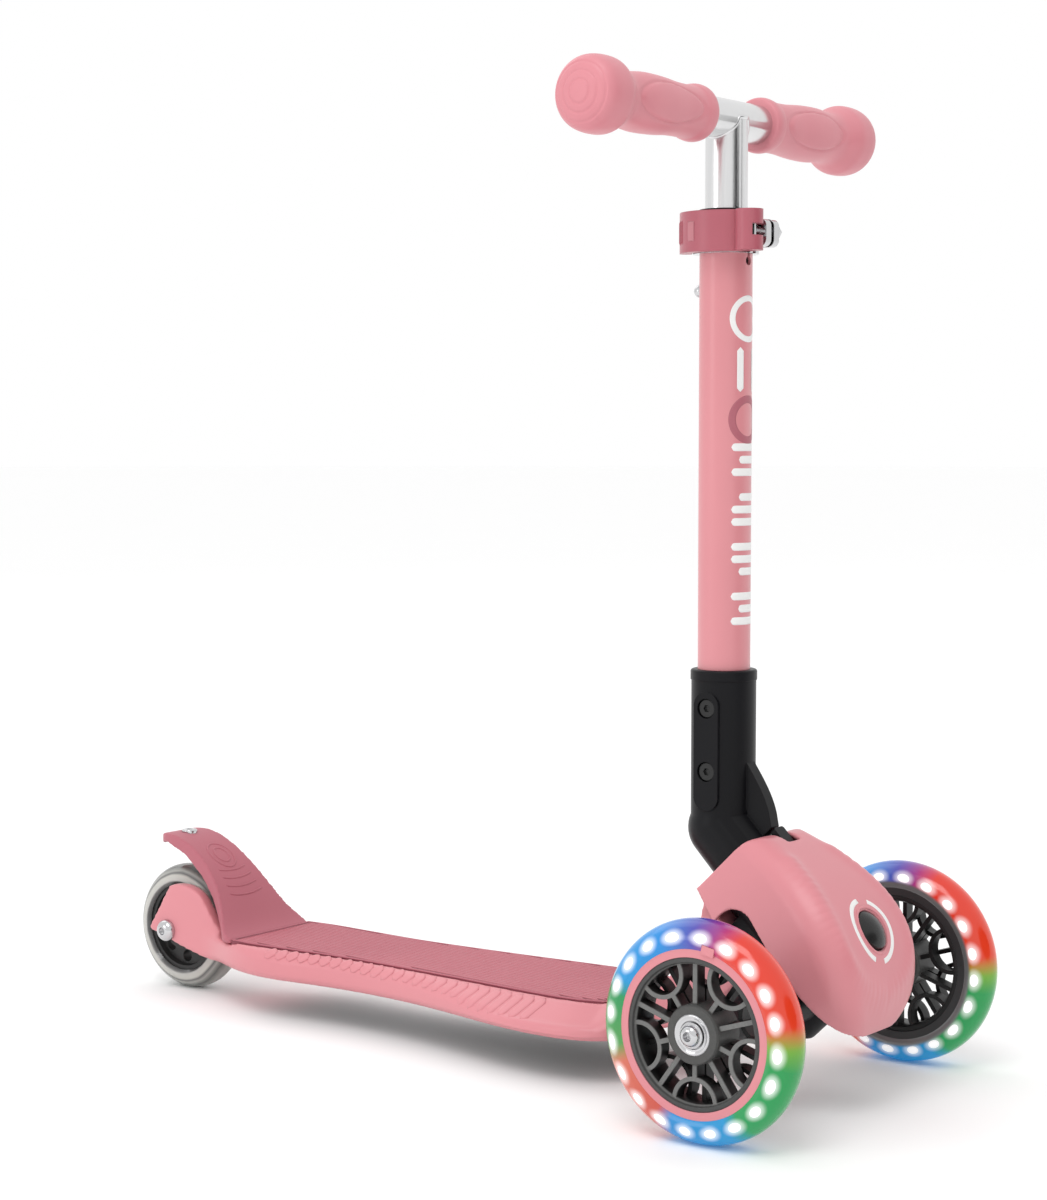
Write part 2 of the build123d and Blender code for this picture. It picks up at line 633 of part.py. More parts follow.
with BuildPart() as latch_key:
    with Locations((0, -(COLLAR_U + 0.6 + 38) / 2, LATCH_N)):
        Box(10.0, 38 - COLLAR_U - 0.6, 3.6)
    fillet(latch_key.edges().filter_by(Axis.Z), 1.5)
save(latch_key.part, "latch_key", HEAD)

with BuildPart() as latch_spring:
    for k in range(5):
        with Locations((0, -(40.2 + 3.6 * k), LATCH_N)):
            Torus(1.2, 0.5, rotation=(90, 0, 0))
    with Locations((0, -47.4, LATCH_N - 1.2)):
        Box(0.8, 15.4, 0.8)
save(latch_spring.part, "latch_spring", HEAD)

# ---------------------------------------------------------------------------
# Front axle carrier, turning on the king bolt
# ---------------------------------------------------------------------------

CARRIER_END = TRACK / 2 - BEARING_OUT - GAP - 3.0
STUB_IN = 40.0
BUSH_R = 10.4

with BuildPart() as axle_carrier:
    with Locations((0, -KING_U, (-1.5 - 36.5) / 2)):
        Cylinder(19.0, 35.0)
    with Locations((0, -KING_U, AXLE_N)):
        Cylinder(11.5, 2 * CARRIER_END, rotation=(0, 90, 0))
        Cylinder(13.5, 140.0, rotation=(0, 90, 0))
    with Locations((0, -KING_U, -20)):
        Cylinder(KING_R + RUNNING, 80, mode=Mode.SUBTRACT)
    with Locations((0, -KING_U, -5.5)):
        Cylinder(BUSH_R + SEAT, 8.2, mode=Mode.SUBTRACT)
    with Locations(*[(x, -KING_U, -3) for x in (-LOCK_X, LOCK_X)]):
        Cylinder(LOCK_R + 0.3, 8, mode=Mode.SUBTRACT)
    for side in (-1, 1):
        with Locations((side * (STUB_IN + 60), -KING_U, AXLE_N)):
            Cylinder(AXLE_R + SEAT, 120, rotation=(0, 90, 0), mode=Mode.SUBTRACT)
save(axle_carrier.part, "axle_carrier", HEAD)

with BuildPart() as centring_bush:
    with Locations((0, -KING_U, (-9.5 - 0.45) / 2)):
        Cylinder(BUSH_R, 9.05)
        Cylinder(KING_R + RUNNING, 30, mode=Mode.SUBTRACT)
save(centring_bush.part, "centring_bush", HEAD)

with BuildPart() as axle_spacers:
    for side in (-1, 1):
        with Locations(Pos(side * (CARRIER_END + 1.5), AXLE_Y, FRONT_R) * Rotation(0, 90, 0)):
            Cylinder(7.0, 3.0)
            Cylinder(AXLE_R + SEAT, 8, mode=Mode.SUBTRACT)
save(axle_spacers.part, "axle_spacers")

with BuildPart() as stub_axle:
    with BuildSketch(Plane.XZ):
        with BuildLine():
            head_low = BEARING_OUT + GAP
            Polyline(
                (0, STUB_IN - TRACK / 2 + 0.2), (AXLE_R, STUB_IN - TRACK / 2 + 0.2), (AXLE_R, head_low),
                (7.0, head_low), (7.0, head_low + 0.8), (5.8, head_low + 1.4),
            )
            ThreePointArc((5.8, head_low + 1.4), (5.0, head_low + 3.6), (2.6, head_low + 4.8))
            Polyline((2.6, head_low + 4.8), (2.0, head_low + 1.6), (0, head_low + 1.6), (0, STUB_IN - TRACK / 2 + 0.2))
        make_face()
    revolve(axis=Axis.Z)
for name, side in (("left", 1), ("right", -1)):
    save(stub_axle.part, f"{name}_axle_bolt", wheel_plane(side * TRACK / 2, AXLE_Y, FRONT_R, side))

# ---------------------------------------------------------------------------
# Fold elbow, mast tube and its fasteners
# ---------------------------------------------------------------------------

SCREW_Z = (182.5, 218.5)
SCREW_R = 3.0
PAD_X = SOCKET_R + 0.5

with BuildPart() as fold_elbow:
    with Locations((0, MAST_Y, (FOLD_Z + SOCKET_TOP) / 2)):
        Cylinder(SOCKET_R, SOCKET_TOP - FOLD_Z)
    with Locations((0, MAST_Y, SOCKET_TOP - 3.0)):
        Cylinder(SOCKET_R + 0.5, 6.0)
    fillet(fold_elbow.edges().filter_by(GeomType.CIRCLE).sort_by(Axis.Z)[-1], 1.5)
    with Locations((0, MAST_Y, FOLD_Z)):
        Sphere(LEG_R)
    with Locations(HEAD.location * Pos(0, -32, 0)):
        Cylinder(LEG_R, 64, rotation=(90, 0, 0))
    with BuildSketch(across(0)):
        with BuildLine():
            root = MAST_BACK - 12
            tip = head_point(COLLAR_U - 0.6, 27.0)
            heel = head_point(COLLAR_U - 0.6, 10.0)
            Polyline((root, 190.0), (MAST_BACK - SOCKET_R + 0.6, 188.0))
            Spline((MAST_BACK - SOCKET_R + 0.6, 188.0), (32.5, 176.5), (26.8, 165.5), (24.6, 158.5))
            Polyline((24.6, 158.5), tip, heel, (root, 190.0))
        make_face()
    extrude(amount=4.2, both=True)
    for side in (-1, 1):
        with BuildSketch(across(side * 10.0)):
            with Locations((MAST_BACK, 194.0)):
                SlotOverall(68, 16, rotation=90)
        extrude(amount=side * (PAD_X - 10.0))
        for z in SCREW_Z:
            with Locations(Pos(side * (PAD_X - 1.6), MAST_Y, z) * Rotation(0, 90, 0)):
                Cylinder(5.6, 3.4, mode=Mode.SUBTRACT)
    for z in SCREW_Z:
        with Locations(Pos(0, MAST_Y, z) * Rotation(0, 90, 0)):
            Cylinder(SCREW_R + SEAT, 60, mode=Mode.SUBTRACT)
    with Locations((0, MAST_Y, (TUBE_BOTTOM + 260) / 2)):
        Cylinder(TUBE_R + SEAT, 260 - TUBE_BOTTOM, mode=Mode.SUBTRACT)
    with Locations(HEAD.location * Pos(0, -50, 0)):
        Cylinder(AXLE_R + RUNNING, 37, rotation=(90, 0, 0), mode=Mode.SUBTRACT)
save(fold_elbow.part, "fold_elbow")

with BuildPart() as socket_screws:
    for z in SCREW_Z:
        with Locations(Pos(-1.3, MAST_Y, z) * Rotation(0, 90, 0)):
            Cylinder(SCREW_R, 32.0)
        with Locations(Pos(-PAD_X + 2.2, MAST_Y, z) * Rotation(0, 90, 0)):
            Cylinder(5.0, 2.2)
        with BuildSketch(across(-PAD_X)):
            with Locations((MAST_BACK, z)):
                RegularPolygon(2.2, 6)
        extrude(amount=2.6, mode=Mode.SUBTRACT)
save(socket_screws.part, "socket_screws")

with BuildPart() as socket_nuts:
    for z in SCREW_Z:
        with Locations(Pos(PAD_X - 2.2, MAST_Y, z) * Rotation(0, 90, 0)):
            Cylinder(5.0, 2.2)
        with BuildSketch(across(PAD_X)):
            with Locations((MAST_BACK, z)):
                RegularPolygon(2.2, 6)
        extrude(amount=-1.4, mode=Mode.SUBTRACT)
save(socket_nuts.part, "socket_nuts")

with BuildPart() as mast_tube:
    with Locations((0, MAST_Y, (TUBE_BOTTOM + CLAMP_TOP) / 2)):
        Cylinder(TUBE_R, CLAMP_TOP - TUBE_BOTTOM - 0.2)
        Cylinder(TUBE_R - TUBE_WALL, 400, mode=Mode.SUBTRACT)
    for z in SCREW_Z:
        with Locations(Pos(0, MAST_Y, z) * Rotation(0, 90, 0)):
            Cylinder(SCREW_R + SEAT, 60, mode=Mode.SUBTRACT)
    with Locations((0, MAST_Y - TUBE_R, (470.5 + 510) / 2)):
        Box(2.4, 12.0, 510 - 470.5, mode=Mode.SUBTRACT)
    with Locations(Pos(0, MAST_Y - TUBE_R, 470.5) * Rotation(90, 0, 0)):
        Cylinder(2.6, 12.0, mode=Mode.SUBTRACT)
    with Locations(Pos(0, MAST_Y + TUBE_R, PIN_Z) * Rotation(90, 0, 0)):
        Cylinder(2.5 + SEAT, 12.0, mode=Mode.SUBTRACT)
save(mast_tube.part, "mast_tube")

BUSH_LOW = 462.0

with BuildPart() as guide_bush:
    with Locations((0, MAST_Y, (BUSH_LOW + CLAMP_TOP) / 2)):
        Cylinder(TUBE_R - TUBE_WALL - SEAT, CLAMP_TOP - BUSH_LOW)
    with Locations((0, MAST_Y, CLAMP_TOP + 0.75)):
        Cylinder(TUBE_R, 1.5)
    with Locations((0, MAST_Y, CLAMP_TOP)):
        Cylinder(INNER_R + RUNNING, 120, mode=Mode.SUBTRACT)
    with Locations((0, MAST_Y - TUBE_R, CLAMP_TOP - 12)):
        Box(2.4, 16.0, 60, mode=Mode.SUBTRACT)
save(guide_bush.part, "guide_bush")

with BuildPart() as guide_pin:
    with Locations(Pos(0, MAST_Y + TUBE_R + 1.6, PIN_Z) * Rotation(90, 0, 0)):
        Sphere(4.0)
    with Locations((0, MAST_Y + TUBE_R - 4.9, PIN_Z)):
        Box(12, 10, 12, mode=Mode.SUBTRACT)
    with Locations(Pos(0, MAST_Y + 13.6, PIN_Z) * Rotation(90, 0, 0)):
        Cylinder(2.5, 6.4)
save(guide_pin.part, "guide_pin")

# ---------------------------------------------------------------------------
# Height clamp: split collar, cross bolt with its barrel, nut and cam lever
# ---------------------------------------------------------------------------

COLLAR_R = 18.6
EAR_REACH = 30.5
BOLT_Y = MAST_Y - 24.5
BARREL_X = -15.2
CLAMP_MID = (CLAMP_LOW + CLAMP_TOP) / 2

with BuildPart() as clamp_collar:
    with Locations((0, MAST_Y, CLAMP_MID)):
        Cylinder(COLLAR_R, CLAMP_TOP - CLAMP_LOW)
    with Locations((0, MAST_Y - (EAR_REACH + 10) / 2, CLAMP_MID - 1.0)):
        Box(13.6, EAR_REACH - 10, 15.5)
    fillet(clamp_collar.edges().filter_by(Axis.X).sort_by(Axis.Y)[:2], 4.0)
    with Locations((0, MAST_Y, CLAMP_MID)):
        Cylinder(TUBE_R + SEAT, 60, mode=Mode.SUBTRACT)
    with Locations((0, MAST_Y - 30, CLAMP_MID)):
        Box(3.0, 60, 60, mode=Mode.SUBTRACT)
    with Locations(Pos(0, BOLT_Y, CLAMP_MID) * Rotation(0, 90, 0)):
        Cylinder(2.5 + SEAT, 60, mode=Mode.SUBTRACT)
save(clamp_collar.part, "clamp_collar")

with BuildPart() as clamp_bolt:
    with Locations(Pos((BARREL_X + 12.5) / 2, BOLT_Y, CLAMP_MID) * Rotation(0, 90, 0)):
        Cylinder(2.5, 12.5 - BARREL_X)
    with Locations((BARREL_X, BOLT_Y, CLAMP_MID)):
        Cylinder(4.0, CLAMP_TOP - CLAMP_LOW - 3.0)
save(clamp_bolt.part, "clamp_bolt")

with BuildPart() as clamp_nut:
    with BuildSketch(across(6.85)):
        with Locations((BOLT_Y - AXLE_Y, CLAMP_MID)):
            Circle(5.6)
            Circle(2.5 + SEAT, mode=Mode.SUBTRACT)
    extrude(amount=1.0)
    with BuildSketch(across(7.85)):
        with Locations((BOLT_Y - AXLE_Y, CLAMP_MID)):
            RegularPolygon(4.9, 6)
            Circle(2.5 + SEAT, mode=Mode.SUBTRACT)
    extrude(amount=4.0)
save(clamp_nut.part, "clamp_nut")

LEVER_IN = COLLAR_R + 0.9
LEVER_OUT = LEVER_IN + 6.6

with BuildPart() as clamp_lever:
    with BuildSketch(Plane.XY.offset(CLAMP_LOW + 0.4)):
        with Locations((0, MAST_Y)):
            Circle(LEVER_OUT)
            Circle(LEVER_IN, mode=Mode.SUBTRACT)
        with BuildLine():
            reach = [(cos(radians(a)) * 60, MAST_Y + sin(radians(a)) * 60) for a in (118, 150, 200, 236)]
            Polyline((0, MAST_Y), *reach, (0, MAST_Y))
        make_face(mode=Mode.INTERSECT)
        with Locations((LEVER_OUT * 0.87 * cos(radians(118)), MAST_Y + LEVER_OUT * 0.87 * sin(radians(118)))):
            Circle(3.6)
        with Locations((BARREL_X, BOLT_Y)):
            Circle(7.8)
    extrude(amount=CLAMP_TOP - CLAMP_LOW - 0.8)
    with Locations((BARREL_X, BOLT_Y, CLAMP_MID)):
        Cylinder(4.0 + RUNNING, 60, mode=Mode.SUBTRACT)
    with BuildSketch(Plane.XY.offset(CLAMP_MID - 3.2)):
        with BuildLine():
            wedge = [(BARREL_X + 16 * cos(radians(a)), BOLT_Y + 16 * sin(radians(a))) for a in (55, 10, -40, -90, -135)]
            Polyline((BARREL_X, BOLT_Y), *wedge, (BARREL_X, BOLT_Y))
        make_face()
    extrude(amount=6.4, mode=Mode.SUBTRACT)
save(clamp_lever.part, "clamp_lever")

# ---------------------------------------------------------------------------
# Handle: sliding inner tube with the cross bar welded on, and two grips
# ---------------------------------------------------------------------------

INNER_BOTTOM = PIN_Z - SLIDE_UP - 32.0

with BuildPart() as handle_tube:
    with Locations((0, MAST_Y, (INNER_BOTTOM + HANDLE_Z) / 2)):
        Cylinder(INNER_R, HANDLE_Z - INNER_BOTTOM)
    with Locations(Pos(0, MAST_Y, HANDLE_Z) * Rotation(0, 90, 0)):
        Cylinder(BAR_R, 2 * BAR_HALF)
    with Locations(Pos(0, MAST_Y, HANDLE_Z) * Rotation(0, 90, 0)):
        Cylinder(BAR_R - INNER_WALL, 2 * BAR_HALF + 10, mode=Mode.SUBTRACT)
    with Locations((0, MAST_Y, (INNER_BOTTOM + HANDLE_Z - 14) / 2 - 5)):
        Cylinder(INNER_R - INNER_WALL, HANDLE_Z - 14 - INNER_BOTTOM + 10, mode=Mode.SUBTRACT)
    with BuildSketch(Plane(origin=(0, MAST_Y, 0), x_dir=(1, 0, 0), z_dir=(0, -1, 0))):
        with Locations((0, PIN_Z + (SLIDE_DOWN - SLIDE_UP) / 2)):
            SlotOverall(SLIDE_UP + SLIDE_DOWN + 6.4, 5.3, rotation=90)
    extrude(amount=-30, mode=Mode.SUBTRACT)
save(handle_tube.part, "handle_tube")

GRIP_WAIST = [(14.9, 58.0), (16.2, 76.0), (16.5, 90.0), (15.2, 104.0), (15.8, 112.0)]
GRIP_KNOB = [(20.6, 127.0), (19.8, 134.0), (15.8, 140.2), (8.0, 143.4)]

with BuildPart() as grip:
    with BuildSketch(Plane.XZ):
        with BuildLine():
            Polyline((0, GRIP_OUT), (0, BAR_HALF + 0.1), (BAR_R + SEAT, BAR_HALF + 0.1), (BAR_R + SEAT, GRIP_IN))
            Polyline((BAR_R + SEAT, GRIP_IN), (14.4, GRIP_IN))
            ThreePointArc((14.4, GRIP_IN), (15.9, GRIP_IN + 4.0), (15.0, GRIP_IN + 9.0))
            Spline((15.0, GRIP_IN + 9.0), *GRIP_WAIST, (19.6, GRIP_OUT - 22.0))
            Spline((19.6, GRIP_OUT - 22.0), *GRIP_KNOB, (0, GRIP_OUT))
        make_face()
    revolve(axis=Axis.Z)
for name, side in (("left", 1), ("right", -1)):
    save(grip.part, f"{name}_grip", wheel_plane(0, MAST_Y, HANDLE_Z, side))
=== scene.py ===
import logging
from dataclasses import dataclass, field
from enum import Enum
from math import cos, exp, pi, radians, sin, sqrt
from typing import Any, Callable, Iterable, Sequence

import bpy
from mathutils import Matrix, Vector
from mathutils.bvhtree import BVHTree


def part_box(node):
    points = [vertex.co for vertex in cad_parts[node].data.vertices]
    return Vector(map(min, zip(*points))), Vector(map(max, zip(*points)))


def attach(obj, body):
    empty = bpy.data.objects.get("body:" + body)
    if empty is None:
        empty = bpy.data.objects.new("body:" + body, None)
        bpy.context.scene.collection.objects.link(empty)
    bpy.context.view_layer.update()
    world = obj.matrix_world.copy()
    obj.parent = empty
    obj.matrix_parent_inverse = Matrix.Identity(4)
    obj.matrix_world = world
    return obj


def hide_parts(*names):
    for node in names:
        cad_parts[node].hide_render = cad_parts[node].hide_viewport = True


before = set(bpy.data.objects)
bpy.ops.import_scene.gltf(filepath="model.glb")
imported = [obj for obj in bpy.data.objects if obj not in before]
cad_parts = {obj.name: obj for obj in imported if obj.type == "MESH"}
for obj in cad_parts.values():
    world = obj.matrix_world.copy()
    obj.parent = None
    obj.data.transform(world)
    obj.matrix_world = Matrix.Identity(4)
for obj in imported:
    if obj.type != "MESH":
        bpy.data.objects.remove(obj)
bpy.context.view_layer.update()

LOG = logging.getLogger("scooter")
MM = 0.001
Colour = tuple[float, float, float]


class Axis(Enum):
    """One axis of the scooter's frame."""

    X = "X"
    Y = "Y"
    Z = "Z"


class Side(Enum):
    """The rider's left or right."""

    LEFT = "left"
    RIGHT = "right"

    @property
    def outward(self) -> float:
        """+1 where away from the middle is +X, else -1."""
        return 1.0 if self is Side.LEFT else -1.0


class Slot(Enum):
    """Material slots of the record, handed along with added pieces; nothing in the script reads them."""

    SHELL_PINK = "shell_pink"
    MAT_ROSE = "mat_rose"
    MAST_PINK = "mast_pink"
    LEVER_ROSE = "lever_rose"
    GRIP_PINK = "grip_pink"
    SILVER = "silver"
    POLISHED = "polished"


# --------------------------------------------------------------------------
# Shader graphs
# --------------------------------------------------------------------------


class Wire:
    """One output socket of a shader graph, usable in arithmetic."""

    def __init__(self, graph: "Graph", socket: bpy.types.NodeSocket) -> None:
        """Wrap an output socket.

        Args:
            graph: The graph that the socket belongs to.
            socket: The output socket.
        """
        self.graph = graph
        self.socket = socket

    def _math(self, operation: str, *values: Any) -> "Wire":
        """Add one Math node.

        Args:
            operation: The node's operation.
            values: Its inputs, wires or numbers.

        Returns:
            The node's output.
        """
        return self.graph.node("ShaderNodeMath", {"operation": operation}, dict(enumerate(values)))

    def __add__(self, other: Any) -> "Wire":
        """Sum."""
        return self._math("ADD", self, other)

    def __radd__(self, other: Any) -> "Wire":
        """Sum, reflected."""
        return self._math("ADD", other, self)

    def __sub__(self, other: Any) -> "Wire":
        """Difference."""
        return self._math("SUBTRACT", self, other)

    def __rsub__(self, other: Any) -> "Wire":
        """Difference, reflected."""
        return self._math("SUBTRACT", other, self)

    def __mul__(self, other: Any) -> "Wire":
        """Product."""
        return self._math("MULTIPLY", self, other)

    def __rmul__(self, other: Any) -> "Wire":
        """Product, reflected."""
        return self._math("MULTIPLY", other, self)

    def __truediv__(self, other: Any) -> "Wire":
        """Quotient."""
        return self._math("DIVIDE", self, other)

    def __rtruediv__(self, other: Any) -> "Wire":
        """Quotient, reflected."""
        return self._math("DIVIDE", other, self)

    def __pow__(self, other: Any) -> "Wire":
        """Power."""
        return self._math("POWER", self, other)

    def __gt__(self, other: Any) -> "Wire":
        """1 where this is above the other, else 0."""
        return self._math("GREATER_THAN", self, other)

    def __lt__(self, other: Any) -> "Wire":
        """1 where this is below the other, else 0."""
        return self._math("LESS_THAN", self, other)

    def turn_from(self, other: "Wire") -> "Wire":
        """Angle whose sine is this value and whose cosine is the other."""
        return self._math("ARCTAN2", self, other)

    def ramp(self, low: float, high: float) -> "Wire":
        """Smooth step.

        Args:
            low: Value that gives 0.
            high: Value that gives 1.

        Returns:
            A value from 0 to 1.
        """
        settings = {"interpolation_type": "SMOOTHSTEP"}
        sockets = {0: self, 1: low, 2: high, 3: 0.0, 4: 1.0}
        return self.graph.node("ShaderNodeMapRange", settings, sockets)


class Graph:
    """The node tree of one material."""

    def __init__(self, name: str) -> None:
        """Start an empty material.

        Args:
            name: The material's name.
        """
        self.material = bpy.data.materials.new(name)
        self.material.use_nodes = True
        self.tree = self.material.node_tree
        self.tree.nodes.clear()

    def node(
        self, kind: str, settings: dict[str, Any] | None = None, sockets: dict[Any, Any] | None = None,
        output: int | str = 0,
    ) -> Wire:
        """Add any node.

        Args:
            kind: The node's type.
            settings: Its properties; "stops" fills a colour ramp.
            sockets: Values or wires for its inputs, by index or name.
            output: Which output to hand back.

        Returns:
            The chosen output.
        """
        made = self.tree.nodes.new(kind)
        for key, value in (settings or {}).items():
            if key == "stops":
                self._fill_ramp(made.color_ramp, value)
            else:
                setattr(made, key, value)
        for key, value in (sockets or {}).items():
            if isinstance(value, Wire):
                self.tree.links.new(value.socket, made.inputs[key])
            else:
                made.inputs[key].default_value = value
        return Wire(self, made.outputs[output])

    @staticmethod
    def _fill_ramp(ramp: bpy.types.ColorRamp, stops: Sequence[tuple[float, Colour]]) -> None:
        """Set a ramp's stops.

        Args:
            ramp: The ramp.
            stops: Positions and colours in order.
        """
        while len(ramp.elements) < len(stops):
            ramp.elements.new(1.0)
        for element, (position, colour) in zip(ramp.elements, stops):
            element.position = position
            element.color = (*colour, 1.0)

    def place(self, axis: Axis | None = None) -> Wire:
        """Position in the scooter's own frame, in metres.

        Args:
            axis: The coordinate to hand back, or None for the vector.

        Returns:
            The vector or the coordinate.
        """
        vector = self.node("ShaderNodeTexCoord", output="Object")
        if axis is None:
            return vector
        return self.node("ShaderNodeSeparateXYZ", None, {0: vector}, output=axis.value)

    def stretched(self, scale: tuple[float, float, float]) -> Wire:
        """Position scaled along each axis."""
        return self.node("ShaderNodeVectorMath", {"operation": "MULTIPLY"}, {0: self.place(), 1: scale})

    def grain(self, scale: float, detail: float = 3.0, vector: Wire | None = None) -> Wire:
        """Noise from 0 to 1.

        Args:
            scale: Noise cells per metre.
            detail: Octaves.
            vector: Where to read it; the object's own position if left out.

        Returns:
            The noise value.
        """
        sockets = {"Vector": vector or self.place(), "Scale": scale, "Detail": detail}
        return self.node("ShaderNodeTexNoise", None, sockets)

    def blend(self, factor: Any, first: Any, second: Any) -> Wire:
        """Mix two colours.

        Args:
            factor: 0 gives the first, 1 the second.
            first: A colour or wire.
            second: A colour or wire.

        Returns:
            The mixed colour.
        """
        pair = [(*c, 1.0) if isinstance(c, tuple) else c for c in (first, second)]
        sockets = {0: factor, 6: pair[0], 7: pair[1]}
        return self.node("ShaderNodeMix", {"data_type": "RGBA"}, sockets, output=2)

    def relief(self, height: Wire, depth: float, strength: float = 1.0, soften: float = 0.0) -> Wire:
        """Surface normal bumped by a height, with edges rounded.

        Args:
            height: Height from 0 to 1.
            depth: Depth that a height of 1 stands for, in metres.
            strength: Strength of the bump.
            soften: Radius of rounded edges, in metres.

        Returns:
            The normal.
        """
        sockets: dict[Any, Any] = {"Height": height, "Distance": depth, "Strength": strength}
        if soften > 0:
            sockets["Normal"] = self.node("ShaderNodeBevel", {"samples": 4}, {"Radius": soften})
        return self.node("ShaderNodeBump", None, sockets)

    def close(self, sockets: dict[str, Any]) -> bpy.types.Material:
        """Finish with a Principled shader.

        Args:
            sockets: Its inputs by name.

        Returns:
            The material.
        """
        surface = self.node("ShaderNodeBsdfPrincipled", None, sockets)
        self.node_output(surface)
        return self.material

    def node_output(self, surface: Wire) -> None:
        """Link a shader to the material's output."""
        made = self.tree.nodes.new("ShaderNodeOutputMaterial")
        self.tree.links.new(surface.socket, made.inputs["Surface"])


# --------------------------------------------------------------------------
# Finishes
# --------------------------------------------------------------------------


class Finish:
    """Something that can make a material once and hand it out again."""

    _made: dict[Any, bpy.types.Material] = {}

    def material(self) -> bpy.types.Material:
        """The finish's material, built on first use.

        Returns:
            The material.
        """
        if self not in Finish._made:
            Finish._made[self] = self.build()
        return Finish._made[self]

    def build(self) -> bpy.types.Material:
        """Build the material."""
        raise NotImplementedError


@dataclass(frozen=True)
class MouldedPlastic(Finish):
    """Injection-moulded plastic with a fine texture, faint flow marks and soft edges."""

    name: str
    colour: Colour
    shade: Colour
    roughness: float = 0.42
    coat: float = 0.0
    grain_depth: float = 0.00002
    grain_scale: float = 1600.0
    soften: float = 0.0006
    specular: float = 0.4

    def build(self) -> bpy.types.Material:
        """Build the material.

        Returns:
            The material.
        """
        g = Graph(self.name)
        flow = g.grain(9.0, 2.0).ramp(0.3, 0.75)
        fine = g.grain(self.grain_scale, 2.0)
        colour = g.blend(flow, self.colour, self.shade)
        rough = self.roughness + (fine - 0.5) * 0.12
        return g.close({
            "Base Color": colour, "Roughness": rough, "Coat Weight": self.coat, "Coat Roughness": 0.2,
            "Specular IOR Level": self.specular,
            "Normal": g.relief(fine, self.grain_depth, 0.6, self.soften),
        })


@dataclass(frozen=True)
class PowderCoat(Finish):
    """Powder-coated tube: a fine orange peel under a soft gloss."""

    name: str
    colour: Colour
    shade: Colour

    def build(self) -> bpy.types.Material:
        """Build the material.

        Returns:
            The material.
        """
        g = Graph(self.name)
        peel = g.grain(700.0, 2.0)
        tone = g.blend(g.grain(14.0, 2.0), self.colour, self.shade)
        return g.close({
            "Base Color": tone, "Roughness": 0.32 + peel * 0.08, "Coat Weight": 0.35,
            "Coat Roughness": 0.15,
            "Normal": g.relief(peel, 0.00003, 0.35, 0.0004),
        })


@dataclass(frozen=True)
class BrushedMetal(Finish):
    """Bare metal with fine lines drawn along one axis."""

    name: str
    colour: Colour
    roughness: float = 0.3
    along: tuple[float, float, float] = (1500.0, 1500.0, 30.0)
    soften: float = 0.0004

    def build(self) -> bpy.types.Material:
        """Build the material.

        Returns:
            The material.
        """
        g = Graph(self.name)
        lines = g.grain(1.0, 3.0, g.stretched(self.along))
        dark = (self.colour[0] * 0.82, self.colour[1] * 0.82, self.colour[2] * 0.83)
        return g.close({
            "Base Color": g.blend(lines, dark, self.colour), "Metallic": 1.0,
            "Roughness": self.roughness + (lines - 0.5) * 0.14,
            "Normal": g.relief(lines, 0.000008, 0.5, self.soften),
        })


@dataclass(frozen=True)
class Chrome(Finish):
    """Bright plated metal with faint handling marks."""

    name: str
    colour: Colour = (0.58, 0.58, 0.59)
    roughness: float = 0.09

    def build(self) -> bpy.types.Material:
        """Build the material.

        Returns:
            The material.
        """
        g = Graph(self.name)
        marks = g.grain(900.0, 4.0).ramp(0.45, 0.8)
        return g.close({
            "Base Color": self.colour + (1.0,), "Metallic": 1.0, "Roughness": self.roughness + marks * 0.1,
            "Normal": g.relief(marks, 0.000004, 0.3, 0.0005),
        })


@dataclass(frozen=True)
class GripRubber(Finish):
    """Soft rubber with a fine matte skin."""

    name: str
    colour: Colour
    shade: Colour

    def build(self) -> bpy.types.Material:
        """Build the material.

        Returns:
            The material.
        """
        g = Graph(self.name)
        skin = g.grain(2600.0, 2.0)
        tone = g.blend(g.grain(30.0, 3.0).ramp(0.3, 0.8), self.colour, self.shade)
        return g.close({
            "Base Color": tone, "Roughness": 0.4 + skin * 0.12, "Coat Weight": 0.15, "Coat Roughness": 0.3,
            "Normal": g.relief(skin, 0.00002, 0.5, 0.0004),
        })


@dataclass(frozen=True)
class FlatPaint(Finish):
    """Printed mark: a thin even ink."""

    name: str
    colour: Colour

    def build(self) -> bpy.types.Material:
        """Build the material.

        Returns:
            The material.
        """
        g = Graph(self.name)
        ink = g.grain(1200.0, 2.0)
        faint = (self.colour[0] * 0.93, self.colour[1] * 0.93, self.colour[2] * 0.93)
        return g.close({"Base Color": g.blend(ink, faint, self.colour), "Roughness": 0.4 + ink * 0.1})


@dataclass(frozen=True)
class Lamp(Finish):
    """A lit lamp behind its clear cover."""

    name: str
    colour: Colour
    strength: float

    def build(self) -> bpy.types.Material:
        """Build the material.

        Returns:
            The material.
        """
        g = Graph(self.name)
        glow = g.blend(g.grain(500.0, 1.0), self.colour, (1.0, 1.0, 1.0))
        return g.close({
            "Base Color": (0.95, 0.97, 1.0, 1.0), "Roughness": 0.2, "Emission Color": glow,
            "Emission Strength": self.strength,
        })


